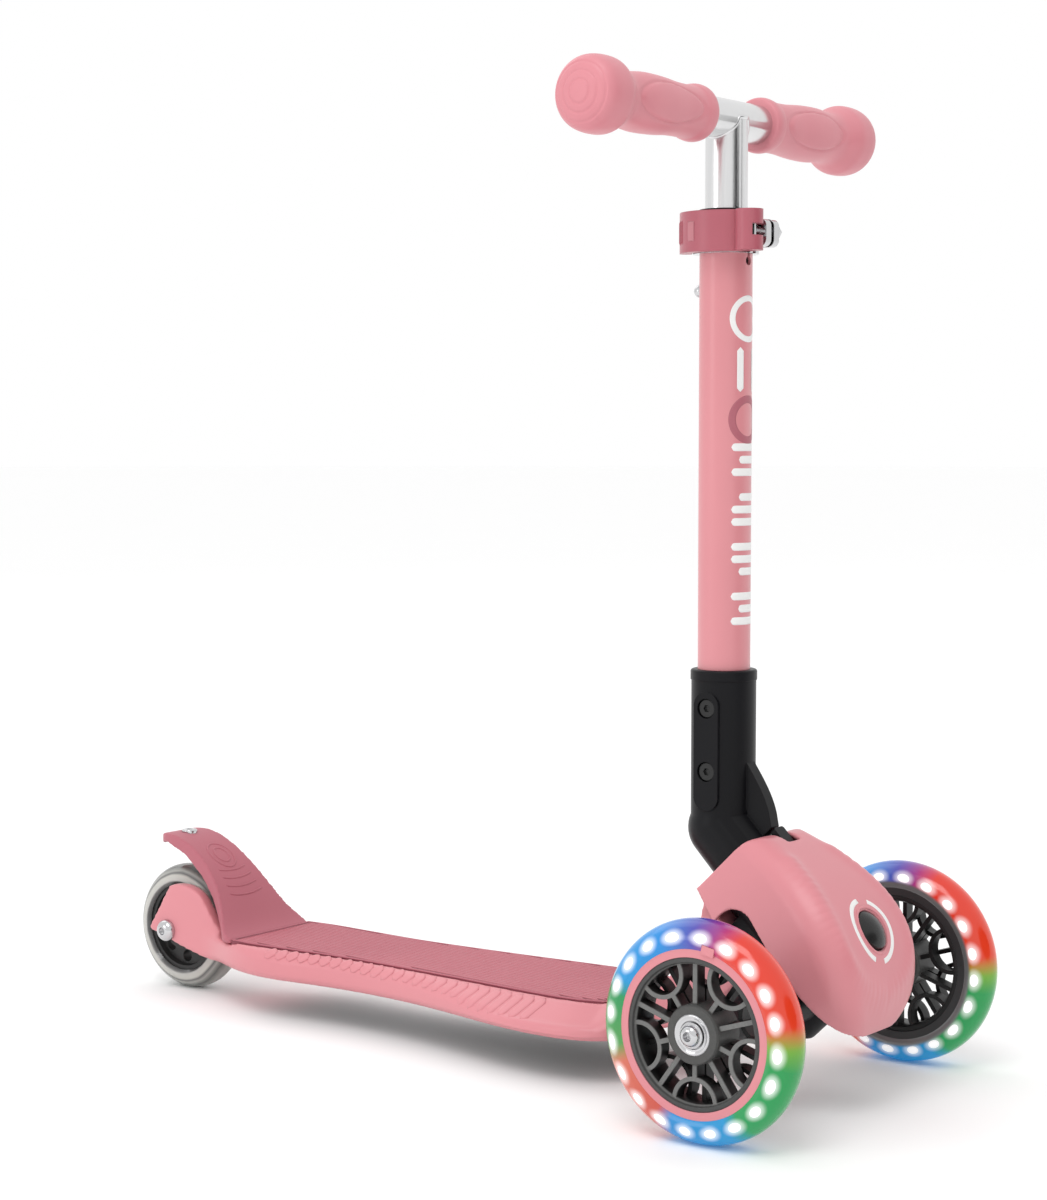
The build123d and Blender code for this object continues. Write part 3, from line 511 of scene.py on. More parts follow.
@dataclass(frozen=True)
class ClearUrethane(Finish):
    """Cast clear urethane, faintly tinted, with painted reflection and painted shade as light and dark rings
    by radius.
    """

    name: str
    centre_y: float
    centre_z: float
    inner: float
    outer: float
    unevenness: float = 0.16

    def build(self) -> bpy.types.Material:
        """Build the material.

        Returns:
            The material.
        """
        g = Graph(self.name)
        y = g.place(Axis.Y) - self.centre_y
        z = g.place(Axis.Z) - self.centre_z
        radius = (y * y + z * z) ** 0.5
        depth = (radius - self.inner) / (self.outer - self.inner)
        uneven = depth + (g.grain(45.0, 2.0) - 0.5) * self.unevenness
        # Painted light: the light and dark rings stand in for the reflections and shade seen in the clear
        # tyre.
        painted_light_bands = g.node("ShaderNodeValToRGB", {"stops": CLEAR_PAINTED_LIGHT_STOPS}, {0: uneven})
        return g.close({
            "Base Color": painted_light_bands, "Roughness": 0.1 + g.grain(400.0) * 0.08, "Transmission Weight": 0.2,
            "IOR": 1.48, "Coat Weight": 0.3, "Coat Roughness": 0.06,
            "Normal": g.relief(g.grain(300.0), 0.00004, 0.3),
        })


@dataclass(frozen=True)
class LitTyre(Finish):
    """Clear urethane lit from within by a ring of lamps that change colour round the wheel."""

    name: str
    centre_y: float
    centre_z: float
    middle_x: float
    outward: float
    lamps: int
    lamp_radius: float
    core_radius: float
    core_edge: float = 0.0012
    lamp_half_length: float = 0.0041
    lamp_half_width: float = 0.0026
    lamp_phase: float = 0.22
    halo: float = 0.45
    glow: float = 0.34
    smoke_from: float = 0.002

    def build(self) -> bpy.types.Material:
        """Build the material.

        Returns:
            The material.
        """
        g = Graph(self.name)
        y = self.centre_y - g.place(Axis.Y)
        z = g.place(Axis.Z) - self.centre_z
        side = (g.place(Axis.X) - self.middle_x) * self.outward
        radius = (y * y + z * z) ** 0.5
        turn = y.turn_from(z) / (2 * pi)
        wobble = (g.grain(26.0, 2.0) - 0.5) * 0.022
        share = g.node("ShaderNodeMath", {"operation": "FRACT"}, {0: turn + 1.0 + wobble})
        hues = g.node("ShaderNodeValToRGB", {"stops": LIT_STOPS}, {0: share})
        count = share * float(self.lamps) + self.lamp_phase
        step = g.node("ShaderNodeMath", {"operation": "FRACT"}, {0: count})
        along = (step - 0.5) * (2 * pi * self.lamp_radius / self.lamps)
        out = radius - self.lamp_radius
        long, wide = along / self.lamp_half_length, out / self.lamp_half_width
        away = (long * long + wide * wide) ** 0.5
        core = 1.0 - away.ramp(0.75, 1.15)
        halo = (1.0 - away.ramp(0.8, 2.0)) * self.halo
        spot = g.node("ShaderNodeMath", {"operation": "MAXIMUM"}, {0: core, 1: halo})
        colour = g.blend(spot, hues, (1.0, 1.0, 1.0))
        rim = radius.ramp(self.core_radius - self.core_edge, self.core_radius + self.core_edge)
        smoke = (1.0 - rim) * (side < self.smoke_from)
        deep = g.blend(spot, g.blend(0.42, hues, (0.0, 0.0, 0.0)), (1.0, 1.0, 1.0))
        body = g.blend(smoke, deep, (0.13, 0.135, 0.135))
        glow = g.blend(smoke, colour, (0.012, 0.012, 0.014))
        return g.close({
            "Base Color": body, "Roughness": 0.14 + g.grain(300.0) * 0.08, "Emission Color": glow,
            "Emission Strength": self.glow, "Coat Weight": 0.3, "Coat Roughness": 0.08,
            "Normal": g.relief(g.grain(260.0), 0.00003, 0.25),
        })


@dataclass(frozen=True)
class HubPaintedLight(Finish):
    """Dark moulded hub with painted light: a pale grey painted highlight on the ribs' outer faces and painted
    shade deeper in towards the scooter.
    """

    name: str
    centre_y: float
    centre_z: float
    middle_x: float
    outward: float
    reach: float = 0.0112
    boss: float = 0.017
    boss_grey: Colour = (0.085, 0.085, 0.082)

    def build(self) -> bpy.types.Material:
        """Build the material.

        Returns:
            The material.
        """
        g = Graph(self.name)
        y = g.place(Axis.Y) - self.centre_y
        z = g.place(Axis.Z) - self.centre_z
        side = (g.place(Axis.X) - self.middle_x) * self.outward
        radius = (y * y + z * z) ** 0.5
        # Painted light: colour by depth along the axle, near black deep in the hub as painted shade, pale
        # grey on the ribs' outer faces as a painted highlight.
        faces = g.node("ShaderNodeValToRGB", {"stops": HUB_PAINTED_LIGHT_STOPS}, {0: side / self.reach})
        tone = g.blend(1.0 - radius.ramp(self.boss - 0.001, self.boss), faces, self.boss_grey)
        fine = g.grain(700.0, 2.0)
        return g.close({
            "Base Color": g.blend(fine * 0.35, tone, (0.01, 0.01, 0.01)),
            "Roughness": 0.34 + fine * 0.12, "Specular IOR Level": 0.3,
            "Normal": g.relief(fine, 0.00004, 0.5, 0.0004),
        })


@dataclass(frozen=True)
class TwoSidedRing(Finish):
    """Plastic ring painted on its outer face and left smoky towards the scooter."""

    name: str
    middle_x: float
    outward: float
    paint: Colour
    smoke: Colour = (0.03, 0.03, 0.031)
    edge: float = 0.002

    def build(self) -> bpy.types.Material:
        """Build the material.

        Returns:
            The material.
        """
        g = Graph(self.name)
        side = (g.place(Axis.X) - self.middle_x) * self.outward
        fine = g.grain(1200.0, 2.0)
        painted = g.blend(fine * 0.12, self.paint, (0.6, 0.22, 0.24))
        return g.close({
            "Base Color": g.blend(side.ramp(0.0, self.edge), self.smoke, painted),
            "Roughness": 0.3 + fine * 0.1, "Specular IOR Level": 0.35,
            "Normal": g.relief(fine, 0.00002, 0.5, 0.0005),
        })


# Painted light for the front hubs: near black deeper in as painted shade, a pale grey band as the painted
# highlight on the ribs' outer faces.
HUB_PAINTED_LIGHT_STOPS: list[tuple[float, Colour]] = [
    (0.30, (0.008, 0.008, 0.008)), (0.66, (0.022, 0.022, 0.022)), (0.74, (0.19, 0.19, 0.185)),
    (0.80, (0.19, 0.19, 0.185)), (0.86, (0.065, 0.065, 0.064)), (1.0, (0.075, 0.075, 0.073)),
]

# Painted reflection and painted shade of the clear rear tyre, by share of its radius from hub to tread.
CLEAR_PAINTED_LIGHT_STOPS: list[tuple[float, Colour]] = [
    (0.0, (0.03, 0.03, 0.03)), (0.12, (0.15, 0.15, 0.15)), (0.22, (0.58, 0.57, 0.54)),
    (0.46, (0.62, 0.61, 0.56)), (0.57, (0.14, 0.14, 0.14)), (0.68, (0.42, 0.42, 0.39)),
    (0.86, (0.13, 0.14, 0.13)), (1.0, (0.42, 0.43, 0.40)),
]

LIT_STOPS: list[tuple[float, Colour]] = [
    (0.0, (0.08, 0.07, 0.46)), (0.035, (0.36, 0.04, 0.26)), (0.07, (0.80, 0.035, 0.015)),
    (0.225, (0.78, 0.05, 0.015)), (0.255, (0.16, 0.42, 0.02)), (0.285, (0.0, 0.33, 0.07)),
    (0.40, (0.005, 0.34, 0.09)), (0.43, (0.0, 0.31, 0.66)), (0.545, (0.005, 0.27, 0.66)),
    (0.575, (0.62, 0.08, 0.05)), (0.68, (0.72, 0.17, 0.11)), (0.71, (0.08, 0.35, 0.08)),
    (0.80, (0.01, 0.32, 0.09)), (0.835, (0.0, 0.32, 0.72)), (0.94, (0.0, 0.27, 0.74)),
    (1.0, (0.08, 0.07, 0.46)),
]

RING_PINK: Colour = (0.68, 0.25, 0.28)
PINK = MouldedPlastic("pink_shell_plastic", (0.68, 0.25, 0.28), (0.65, 0.23, 0.26), roughness=0.34, coat=0.12)
ROSE = MouldedPlastic(
    "rose_mat_plastic", (0.46, 0.135, 0.17), (0.42, 0.115, 0.15), roughness=0.5, grain_depth=0.00004,
    grain_scale=1100.0,
)
LEVER_ROSE = MouldedPlastic(
    "rose_lever_plastic", (0.44, 0.115, 0.15), (0.40, 0.10, 0.13), roughness=0.34, coat=0.1,
)
LEVER_PALE = MouldedPlastic("rose_pad_plastic", (0.53, 0.20, 0.23), (0.49, 0.175, 0.205), roughness=0.45)
BLACK = MouldedPlastic(
    "black_frame_plastic", (0.007, 0.007, 0.009), (0.004, 0.004, 0.005), roughness=0.36,
    grain_depth=0.00004, grain_scale=900.0, soften=0.0008, specular=0.16,
)
BLACK_GLOSS = MouldedPlastic(
    "black_button_plastic", (0.02, 0.02, 0.02), (0.012, 0.012, 0.012), roughness=0.25, coat=0.1, specular=0.3,
)
HUB_GREY = MouldedPlastic(
    "grey_hub_plastic", (0.03, 0.03, 0.03), (0.02, 0.02, 0.02), roughness=0.38, grain_depth=0.00004,
    grain_scale=700.0, soften=0.0004, specular=0.3,
)
# Painted shade: the mat's floor between the ribs is a much darker copy of its rose, for the shade in the
# grooves.
MAT_GROOVE_SHADE = MouldedPlastic("rose_groove_painted_shade", (0.24, 0.05, 0.072), (0.20, 0.04, 0.058), roughness=0.6)
MAT_RIB = MouldedPlastic("rose_rib_plastic", (0.53, 0.17, 0.205), (0.49, 0.15, 0.185), roughness=0.45)
BUSH = MouldedPlastic("black_bush_rubber", (0.015, 0.015, 0.015), (0.01, 0.01, 0.01), roughness=0.7)
PINK_TUBE = PowderCoat("pink_tube_coat", (0.67, 0.25, 0.275), (0.64, 0.23, 0.255))
GRIP = GripRubber("pink_grip_rubber", (0.66, 0.235, 0.27), (0.62, 0.21, 0.245))
SILVER = BrushedMetal("satin_silver", (0.78, 0.78, 0.78), 0.24)
STEEL = BrushedMetal("zinc_steel", (0.48, 0.48, 0.49), 0.35)
CHROME = Chrome("bright_chrome")
WHITE_INK = FlatPaint("white_ink", (0.86, 0.86, 0.85))
ROSE_INK = FlatPaint("rose_ink", (0.42, 0.12, 0.155))
LED = Lamp("clear_lamp_guide", (0.85, 0.92, 1.0), 1.2)


# --------------------------------------------------------------------------
# Mesh helpers
# --------------------------------------------------------------------------


WELD_DISTANCE = 0.00001
SMOOTH_ANGLE = 32.0
LATHE_SHARP = 40.0
GRIP_SHARP = 50.0


def smoothing_group() -> bpy.types.NodeTree:
    """Geometry nodes that weld a CAD mesh and shade its gentle edges smooth.

    Returns:
        The node group.
    """
    group = bpy.data.node_groups.get("smooth_faces")
    if group:
        return group
    group = bpy.data.node_groups.new("smooth_faces", "GeometryNodeTree")
    group.interface.new_socket("Geometry", in_out="INPUT", socket_type="NodeSocketGeometry")
    group.interface.new_socket("Geometry", in_out="OUTPUT", socket_type="NodeSocketGeometry")
    add, link = group.nodes.new, group.links.new
    start, end = add("NodeGroupInput"), add("NodeGroupOutput")
    weld = add("GeometryNodeMergeByDistance")
    weld.inputs["Distance"].default_value = WELD_DISTANCE
    angle, below = add("GeometryNodeInputMeshEdgeAngle"), add("FunctionNodeCompare")
    below.operation = "LESS_THAN"
    below.inputs[1].default_value = radians(SMOOTH_ANGLE)
    faces, edges = add("GeometryNodeSetShadeSmooth"), add("GeometryNodeSetShadeSmooth")
    faces.domain, edges.domain = "FACE", "EDGE"
    link(start.outputs[0], weld.inputs["Geometry"])
    link(weld.outputs[0], faces.inputs["Geometry"])
    link(faces.outputs[0], edges.inputs["Geometry"])
    link(angle.outputs[0], below.inputs[0])
    link(below.outputs[0], edges.inputs["Shade Smooth"])
    link(edges.outputs[0], end.inputs[0])
    return group


def dress_node(name: str, finish: Finish) -> bpy.types.Object:
    """Give a CAD node its finish and smooth shading.

    Args:
        name: The node.
        finish: Its finish.

    Returns:
        The node's object.
    """
    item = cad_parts[name]
    item.data.materials.clear()
    item.data.materials.append(finish.material())
    item.modifiers.new("smooth_faces", "NODES").node_group = smoothing_group()
    return item


def new_piece(
    name: str, points: Sequence[Vector], faces: Sequence[Sequence[int]], finish: Finish, body: str,
) -> bpy.types.Object:
    """Make one mesh piece that rides on a body.

    Args:
        name: The piece's name.
        points: Its vertices in the scooter's frame, in metres.
        faces: Its faces.
        finish: Its finish.
        body: The CAD body that it rides on.

    Returns:
        The piece.
    """
    mesh = bpy.data.meshes.new(name)
    mesh.from_pydata([tuple(p) for p in points], [], [tuple(f) for f in faces])
    mesh.validate()
    mesh.shade_smooth()
    mesh.materials.append(finish.material())
    item = bpy.data.objects.new(name, mesh)
    bpy.context.scene.collection.objects.link(item)
    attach(item, body)
    return item


class Skin:
    """The surface of a piece, for laying detail on it."""

    def __init__(self, piece: bpy.types.Object) -> None:
        """Read the piece's faces.

        Args:
            piece: The piece.
        """
        mesh = piece.data
        corners = [vertex.co for vertex in mesh.vertices]
        self.tree = BVHTree.FromPolygons(corners, [face.vertices for face in mesh.polygons])

    def hit(self, start: Vector, direction: Vector) -> tuple[Vector, Vector] | None:
        """First point of the surface along a ray.

        Args:
            start: Where the ray starts.
            direction: Where it goes.

        Returns:
            The point and its outward normal, or None.
        """
        point, normal, _, _ = self.tree.ray_cast(start, direction.normalized())
        if point is None:
            return None
        return point, (normal if normal.dot(direction) < 0 else -normal)

    def lay(self, path: Iterable[Vector], direction: Vector) -> list[tuple[Vector, Vector]]:
        """Drop a path on the surface.

        Args:
            path: Points above the surface.
            direction: The way they drop.

        Returns:
            The points that landed, each with a smoothed normal.
        """
        landed = [found for found in (self.hit(p, direction) for p in path) if found]
        smooth = []
        for k, (point, _) in enumerate(landed):
            near = [n for _, n in landed[max(0, k - 2):k + 3]]
            smooth.append((point, sum(near, Vector()).normalized()))
        return smooth


@dataclass
class Bead:
    """A raised line with a rounded or flat top, swept along points on a surface."""

    half_width: float
    height: float
    square: float = 2.0
    sink: float = 0.0003
    steps: int = 6
    closed: bool = False
    round_ends: bool = True
    end_share: float = 0.06

    def mesh(
        self, path: Sequence[tuple[Vector, Vector]], base: int = 0,
    ) -> tuple[list[Vector], list[list[int]]]:
        """Vertices and faces of the bead.

        Args:
            path: Points and normals.
            base: Index of the first vertex.

        Returns:
            The vertices and faces.
        """
        count, ring = len(path), self.steps + 3
        lengths = [0.0]
        for (a, _), (b, _) in zip(path, path[1:]):
            lengths.append(lengths[-1] + (b - a).length)
        total = lengths[-1]
        points: list[Vector] = []
        for k, (point, normal) in enumerate(path):
            after = path[(k + 1) % count][0] if self.closed else path[min(k + 1, count - 1)][0]
            before = path[k - 1][0] if self.closed else path[max(k - 1, 0)][0]
            tangent = (after - before).normalized()
            across = tangent.cross(normal).normalized()
            scale = 1.0
            if self.round_ends and not self.closed:
                end = min(lengths[k], total - lengths[k]) / self.half_width
                bow = sqrt(max(0.0, 1 - (1 - min(end, 1.0)) ** 2))
                scale = bow * (1 - self.end_share) + self.end_share
            wide = self.half_width * scale
            tall = self.height * min(1.0, scale * 1.4)
            points.append(point + across * wide - normal * self.sink)
            for s in range(self.steps + 1):
                t = 1 - 2 * s / self.steps
                rise = (1 - abs(t) ** self.square) ** (1 / self.square)
                points.append(point + across * (wide * t) + normal * (tall * rise))
            points.append(point - across * wide - normal * self.sink)
        faces: list[list[int]] = []
        for k in range(count if self.closed else count - 1):
            a, b = base + k * ring, base + ((k + 1) % count) * ring
            faces += [[a + s, b + s, b + (s + 1) % ring, a + (s + 1) % ring] for s in range(ring)]
        if not self.closed:
            faces.append([base + s for s in range(ring)])
            faces.append([base + (count - 1) * ring + s for s in reversed(range(ring))])
        return points, faces

    def lay(
        self, name: str, paths: Iterable[Sequence[tuple[Vector, Vector]]], finish: Finish, body: str,
        slot: Slot,
    ) -> bpy.types.Object | None:
        """Make one piece from several beads.

        Args:
            name: The piece's name.
            paths: The paths, each with normals.
            finish: The finish.
            body: The CAD body that it rides on.
            slot: The record's material slot; not used.

        Returns:
            The piece, or None where nothing landed.
        """
        points: list[Vector] = []
        faces: list[list[int]] = []
        for path in paths:
            if len(path) < 3:
                continue
            more, joined = self.mesh(path, len(points))
            points += more
            faces += joined
        if not points:
            LOG.warning("%s landed nowhere", name)
            return None
        return new_piece(name, points, faces, finish, body)


def smooth_line(points: Sequence[tuple[float, ...]], steps: int) -> list[tuple[float, ...]]:
    """A Catmull-Rom line through points.

    Args:
        points: The points.
        steps: Steps for each run.

    Returns:
        The line's points.
    """
    last = len(points) - 1
    line = []
    for k in range(last):
        p = [points[min(max(k + j, 0), last)] for j in (-1, 0, 1, 2)]
        for s in range(steps):
            t = s / steps
            line.append(tuple(
                0.5 * (
                    2 * b + (c - a) * t + (2 * a - 5 * b + 4 * c - d) * t * t
                    + (3 * b - a - 3 * c + d) * t ** 3
                )
                for a, b, c, d in zip(*p)
            ))
    return line + [tuple(points[-1])]


def oval(
    middle: tuple[float, float], radii: tuple[float, float], start: float, end: float, steps: int = 48,
) -> list[tuple[float, float]]:
    """Points along an oval arc.

    Args:
        middle: Its centre.
        radii: Its two radii.
        start: First angle, in degrees.
        end: Last angle, in degrees.
        steps: Number of steps.

    Returns:
        The points.
    """
    angles = [radians(start + (end - start) * k / steps) for k in range(steps + 1)]
    return [(middle[0] + radii[0] * cos(a), middle[1] + radii[1] * sin(a)) for a in angles]


@dataclass(frozen=True)
class Moulded:
    """A CAD node's shape with the rounded edges and soft slopes of a moulding."""

    node: str
    voxel: float
    rounds: int

    def build(
        self, name: str, finish: Finish, body: str, slot: Slot, shape: Callable[[Vector, Vector], Vector],
    ) -> bpy.types.Object:
        """Make the moulding in place of the node.

        Args:
            name: The piece's name.
            finish: The finish.
            body: The CAD body that it rides on.
            slot: The record's material slot; not used.
            shape: Moves one point of the surface, given its normal.

        Returns:
            The piece.
        """
        draft = bpy.data.objects.new("draft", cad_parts[self.node].data.copy())
        bpy.context.scene.collection.objects.link(draft)
        remesh = draft.modifiers.new("remesh", "REMESH")
        remesh.mode, remesh.voxel_size = "VOXEL", self.voxel
        smooth = draft.modifiers.new("smooth", "SMOOTH")
        smooth.factor, smooth.iterations = 0.5, self.rounds
        evaluated = draft.evaluated_get(bpy.context.evaluated_depsgraph_get())
        mesh = bpy.data.meshes.new_from_object(evaluated)
        bpy.data.objects.remove(draft)
        normals = [vertex.normal.copy() for vertex in mesh.vertices]
        for vertex, normal in zip(mesh.vertices, normals):
            vertex.co = shape(vertex.co, normal)
        mesh.shade_smooth()
        mesh.materials.clear()
        mesh.materials.append(finish.material())
        item = bpy.data.objects.new(name, mesh)
        bpy.context.scene.collection.objects.link(item)
        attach(item, body)
        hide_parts(self.node)
        return item


def middle_of(node: str) -> Vector:
    """Centre of a CAD node's box."""
    low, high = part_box(node)
    return (low + high) / 2


def rounded(place: float) -> float:
    """A place in metres, to the hundredth of a millimetre."""
    return round(place, 5)


def lathe(
    name: str, profile: Sequence[tuple[float, float]], centre: Vector, axis: Vector, finish: Finish,
    body: str, steps: int = 64,
) -> bpy.types.Object:
    """Turn a profile about an axis.

    Args:
        name: The piece's name.
        profile: Radius and height pairs in millimetres, joined in a closed loop.
        centre: Origin of the heights, in metres.
        axis: The axis.
        finish: The finish.
        body: The CAD body that it rides on.
        steps: Steps round the axis.

    Returns:
        The piece.
    """
    spin = axis.to_track_quat("Z", "Y").to_matrix()
    points, faces, ring = [], [], len(profile)
    for k in range(steps):
        a = 2 * pi * k / steps
        points += [
            centre + spin @ Vector((r * MM * cos(a), r * MM * sin(a), h * MM)) for r, h in profile
        ]
        b = ((k + 1) % steps) * ring
        faces += [
            [k * ring + s, b + s, b + (s + 1) % ring, k * ring + (s + 1) % ring] for s in range(ring)
        ]
    item = new_piece(name, points, faces, finish, body)
    item.data.set_sharp_from_angle(angle=radians(LATHE_SHARP))
    return item


# --------------------------------------------------------------------------
# Sub-assemblies
# --------------------------------------------------------------------------


@dataclass
class FrontWheel:
    """One light-up front wheel."""

    side: Side
    lamps: int = 20
    lamp_radius: float = 0.0518
    core_radius: float = 0.0492
    seal_profile: list[tuple[float, float]] = field(default_factory=lambda: [
        (7.4, -0.2), (7.6, 0.15), (8.1, 0.1), (9.2, 0.25), (9.6, 0.5), (10.4, 0.55), (10.8, 0.3),
        (10.8, -0.2),
    ])

    def build(self) -> None:
        """Dress the wheel's nodes."""
        side, outward = self.side.value, self.side.outward
        middle = middle_of(f"{side}_tyre")
        x, y, z = (rounded(place) for place in middle)
        dress_node(f"{side}_tyre", LitTyre(
            f"{side}_lit_urethane", y, z, x, outward, self.lamps, self.lamp_radius, self.core_radius))
        dress_node(f"{side}_colour_ring", TwoSidedRing(f"{side}_ring_paint", x, outward, RING_PINK))
        dress_node(f"{side}_led_ring", LED)
        dress_node(f"{side}_hub", HubPaintedLight(f"{side}_hub_plastic", y, z, x, outward))
        dress_node(f"{side}_bearings", STEEL)
        dress_node(f"{side}_bearing_spacer", STEEL)
        dress_node(f"{side}_axle_bolt", CHROME)
        self.add_seals(middle)

    def add_seals(self, middle: Vector) -> None:
        """Add each bearing's dished dust seal with its pressed rim.

        Args:
            middle: Centre of the wheel.
        """
        side, outward = self.side.value, self.side.outward
        low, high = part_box(f"{side}_bearings")
        face = high.x if outward > 0 else low.x
        for suffix, x, way in (("outer", face, outward), ("inner", 2 * middle.x - face, -outward)):
            lathe(
                f"{side}_{suffix}_bearing_seal", self.seal_profile, Vector((x, middle.y, middle.z)),
                Vector((way, 0, 0)), CHROME, f"{side}_wheel",
            )


@dataclass
class RearWheel:
    """The small clear rear wheel and its axle."""

    hub_radius: float = 0.029

    def build(self) -> None:
        """Dress the wheel's nodes."""
        middle = middle_of("rear_tyre")
        low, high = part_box("rear_tyre")
        outer = rounded((high.y - low.y) / 2)
        dress_node("rear_tyre", ClearUrethane(
            "clear_rear_urethane", rounded(middle.y), rounded(middle.z), self.hub_radius, outer))
        dress_node("rear_hub", HUB_GREY)
        for name in ("rear_bearings", "rear_bearing_spacer", "rear_axle_spacers", "rear_axle_nut"):
            dress_node(name, STEEL)
        dress_node("rear_axle_bolt", CHROME)


@dataclass
class Deck:
    """Deck shell with its ribbed mat and grooved wings."""

    mat_edge: list[tuple[float, float]] = field(default_factory=lambda: [
        (38.0, 114.0), (42.5, 130.0), (43.5, 150.0), (41.5, 185.0), (38.5, 225.0), (36.0, 270.0),
        (35.0, 310.0), (37.0, 350.0), (39.0, 385.0), (38.0, 409.0),
    ])
    rib_pitch: float = 3.4
    rib_lean: float = 5.0
    rib_margin: float = 2.2
    rib_step: float = 3.0
    wing_slope: float = 0.72
    wing_drop: float = 10.5
    wing_margin: float = 1.2
    wing_foot: float = 29.0
    wing_rise: float = 15.0
    wing_behind: float = 6.0
    wing_fade: float = 30.0
    neck_height: float = 48.0
    wing_from: float = 150.0
    wing_to: float = 366.0
    wing_pitch: float = 8.6
    wing_rib_gap: float = 2.2
    wing_rib_sweep: float = 8.0
    wing_rib_reach: float = 0.86
    wing_rib_least: float = 3.0

    def build(self) -> None:
        """Dress the deck's nodes and lay its ribs."""
        self.axle_y = middle_of("left_tyre").y
        self.edge = smooth_line(self.mat_edge, 8)
        moulding = Moulded("deck_shell", 1.5 * MM, 5)
        self.shell = moulding.build("deck_moulding", PINK, "deck", Slot.SHELL_PINK, self.slope)
        # The mat's floor takes the painted shade of its grooves.
        dress_node("deck_mat", MAT_GROOVE_SHADE)
        dress_node("deck_plate", BLACK)
        dress_node("deck_plate_screws", STEEL)
        self.lay_mat_ribs()
        self.lay_mat_border()
        self.lay_wing_ribs()

    def slope(self, spot: Vector, _: Vector) -> Vector:
        """Lower the shell's wings outward from the mat.

        Args:
            spot: A point of the shell.
            _: Its normal, which the slope doesn't need.

        Returns:
            The moved point.
        """
        x, y, z = abs(spot.x) / MM, (spot.y - self.axle_y) / MM, spot.z / MM
        first, last = self.mat_edge[0][1], self.mat_edge[-1][1]
        if y > last + self.wing_behind or z > self.neck_height:
            return spot
        beyond = x - self.half_width(min(max(y, first + 0.1), last - 0.1)) - self.wing_margin
        share = min(1.0, max(0.0, (z - self.wing_foot) / self.wing_rise))
        fade = min(1.0, max(0.0, (last + self.wing_behind - y) / self.wing_fade))
        drop = self.wing_slope * max(0.0, beyond) * share * fade
        return Vector((spot.x, spot.y, spot.z - min(drop, self.wing_drop) * MM))

    def half_width(self, y: float) -> float:
        """Half the mat's width at a distance behind the front axle, in millimetres.

        Args:
            y: The distance.

        Returns:
            The half width, or 0 outside the mat.
        """
        for (x0, y0), (x1, y1) in zip(self.edge, self.edge[1:]):
            if y0 <= y <= y1:
                return x0 + (x1 - x0) * (y - y0) / max(y1 - y0, 1e-6)
        return 0.0

    def lay_mat_ribs(self) -> None:
        """Fine ribs that run along the mat at a slight lean."""
        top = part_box("deck_mat")[1].z
        slope = sin(radians(self.rib_lean)) / cos(radians(self.rib_lean))
        first, last = self.mat_edge[0][1], self.mat_edge[-1][1]
        middle = (first + last) / 2
        paths, runs = [], int(90 / self.rib_pitch)
        for k in range(-runs // 2 - 6, runs // 2 + 7):
            offset = k * self.rib_pitch
            path: list[tuple[Vector, Vector]] = []
            y = first + 1.5
            while y < last - 0.5:
                x = offset + (y - middle) * slope
                if abs(x) < self.half_width(y) - self.rib_margin:
                    path.append((Vector((x * MM, self.axle_y + y * MM, top)), Vector((0, 0, 1))))
                elif path:
                    paths.append(path)
                    path = []
                y += self.rib_step
            if path:
                paths.append(path)
        bead = Bead(half_width=0.95 * MM, height=0.75 * MM, square=2.6, sink=0.2 * MM, steps=4)
        bead.lay("mat_ribs", paths, MAT_RIB, "deck", Slot.MAT_ROSE)

    def lay_mat_border(self) -> None:
        """The plain raised border round the ribs."""
        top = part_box("deck_mat")[1].z
        right = [(x - 0.9, y) for x, y in self.edge]
        loop = right + [(-x, y) for x, y in reversed(right)]
        path = [(Vector((x * MM, self.axle_y + y * MM, top)), Vector((0, 0, 1))) for x, y in loop]
        bead = Bead(half_width=0.8 * MM, height=0.55 * MM, square=3.0, sink=0.2 * MM, steps=4, closed=True)
        bead.lay("mat_border", [path], ROSE, "deck", Slot.MAT_ROSE)

    def lay_wing_ribs(self) -> None:
        """Slanted flat ribs along each wing of the shell."""
        skin, outline = Skin(self.shell), Skin(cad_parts["deck_shell"])
        low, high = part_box("deck_shell")
        level = low.z + 0.4 * (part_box("deck_mat")[1].z - low.z)
        paths = []
        count = int((self.wing_to - self.wing_from) / self.wing_pitch)
        for side in (-1, 1):
            for k in range(count + 1):
                share = k / count
                y = self.wing_from + (self.wing_to - self.wing_from) * share
                rim = outline.hit(Vector((side * 0.2, self.axle_y + y * MM, level)), Vector((-side, 0, 0)))
                inner = self.half_width(y) + self.wing_rib_gap
                reach = self.wing_rib_least
                if rim:
                    reach = max(reach, (abs(rim[0].x) / MM - inner) * self.wing_rib_reach)
                points = []
                for t in (j / 8 for j in range(9)):
                    along = self.axle_y + (y + self.wing_rib_sweep * t) * MM
                    points.append(Vector((side * (inner + reach * t) * MM, along, high.z + 0.01)))
                paths.append(skin.lay(points, Vector((0, 0, -1))))
        bead = Bead(half_width=3.3 * MM, height=0.6 * MM, square=5.0, sink=0.4 * MM, steps=8)
        bead.lay("wing_ribs", paths, PINK, "deck", Slot.SHELL_PINK)


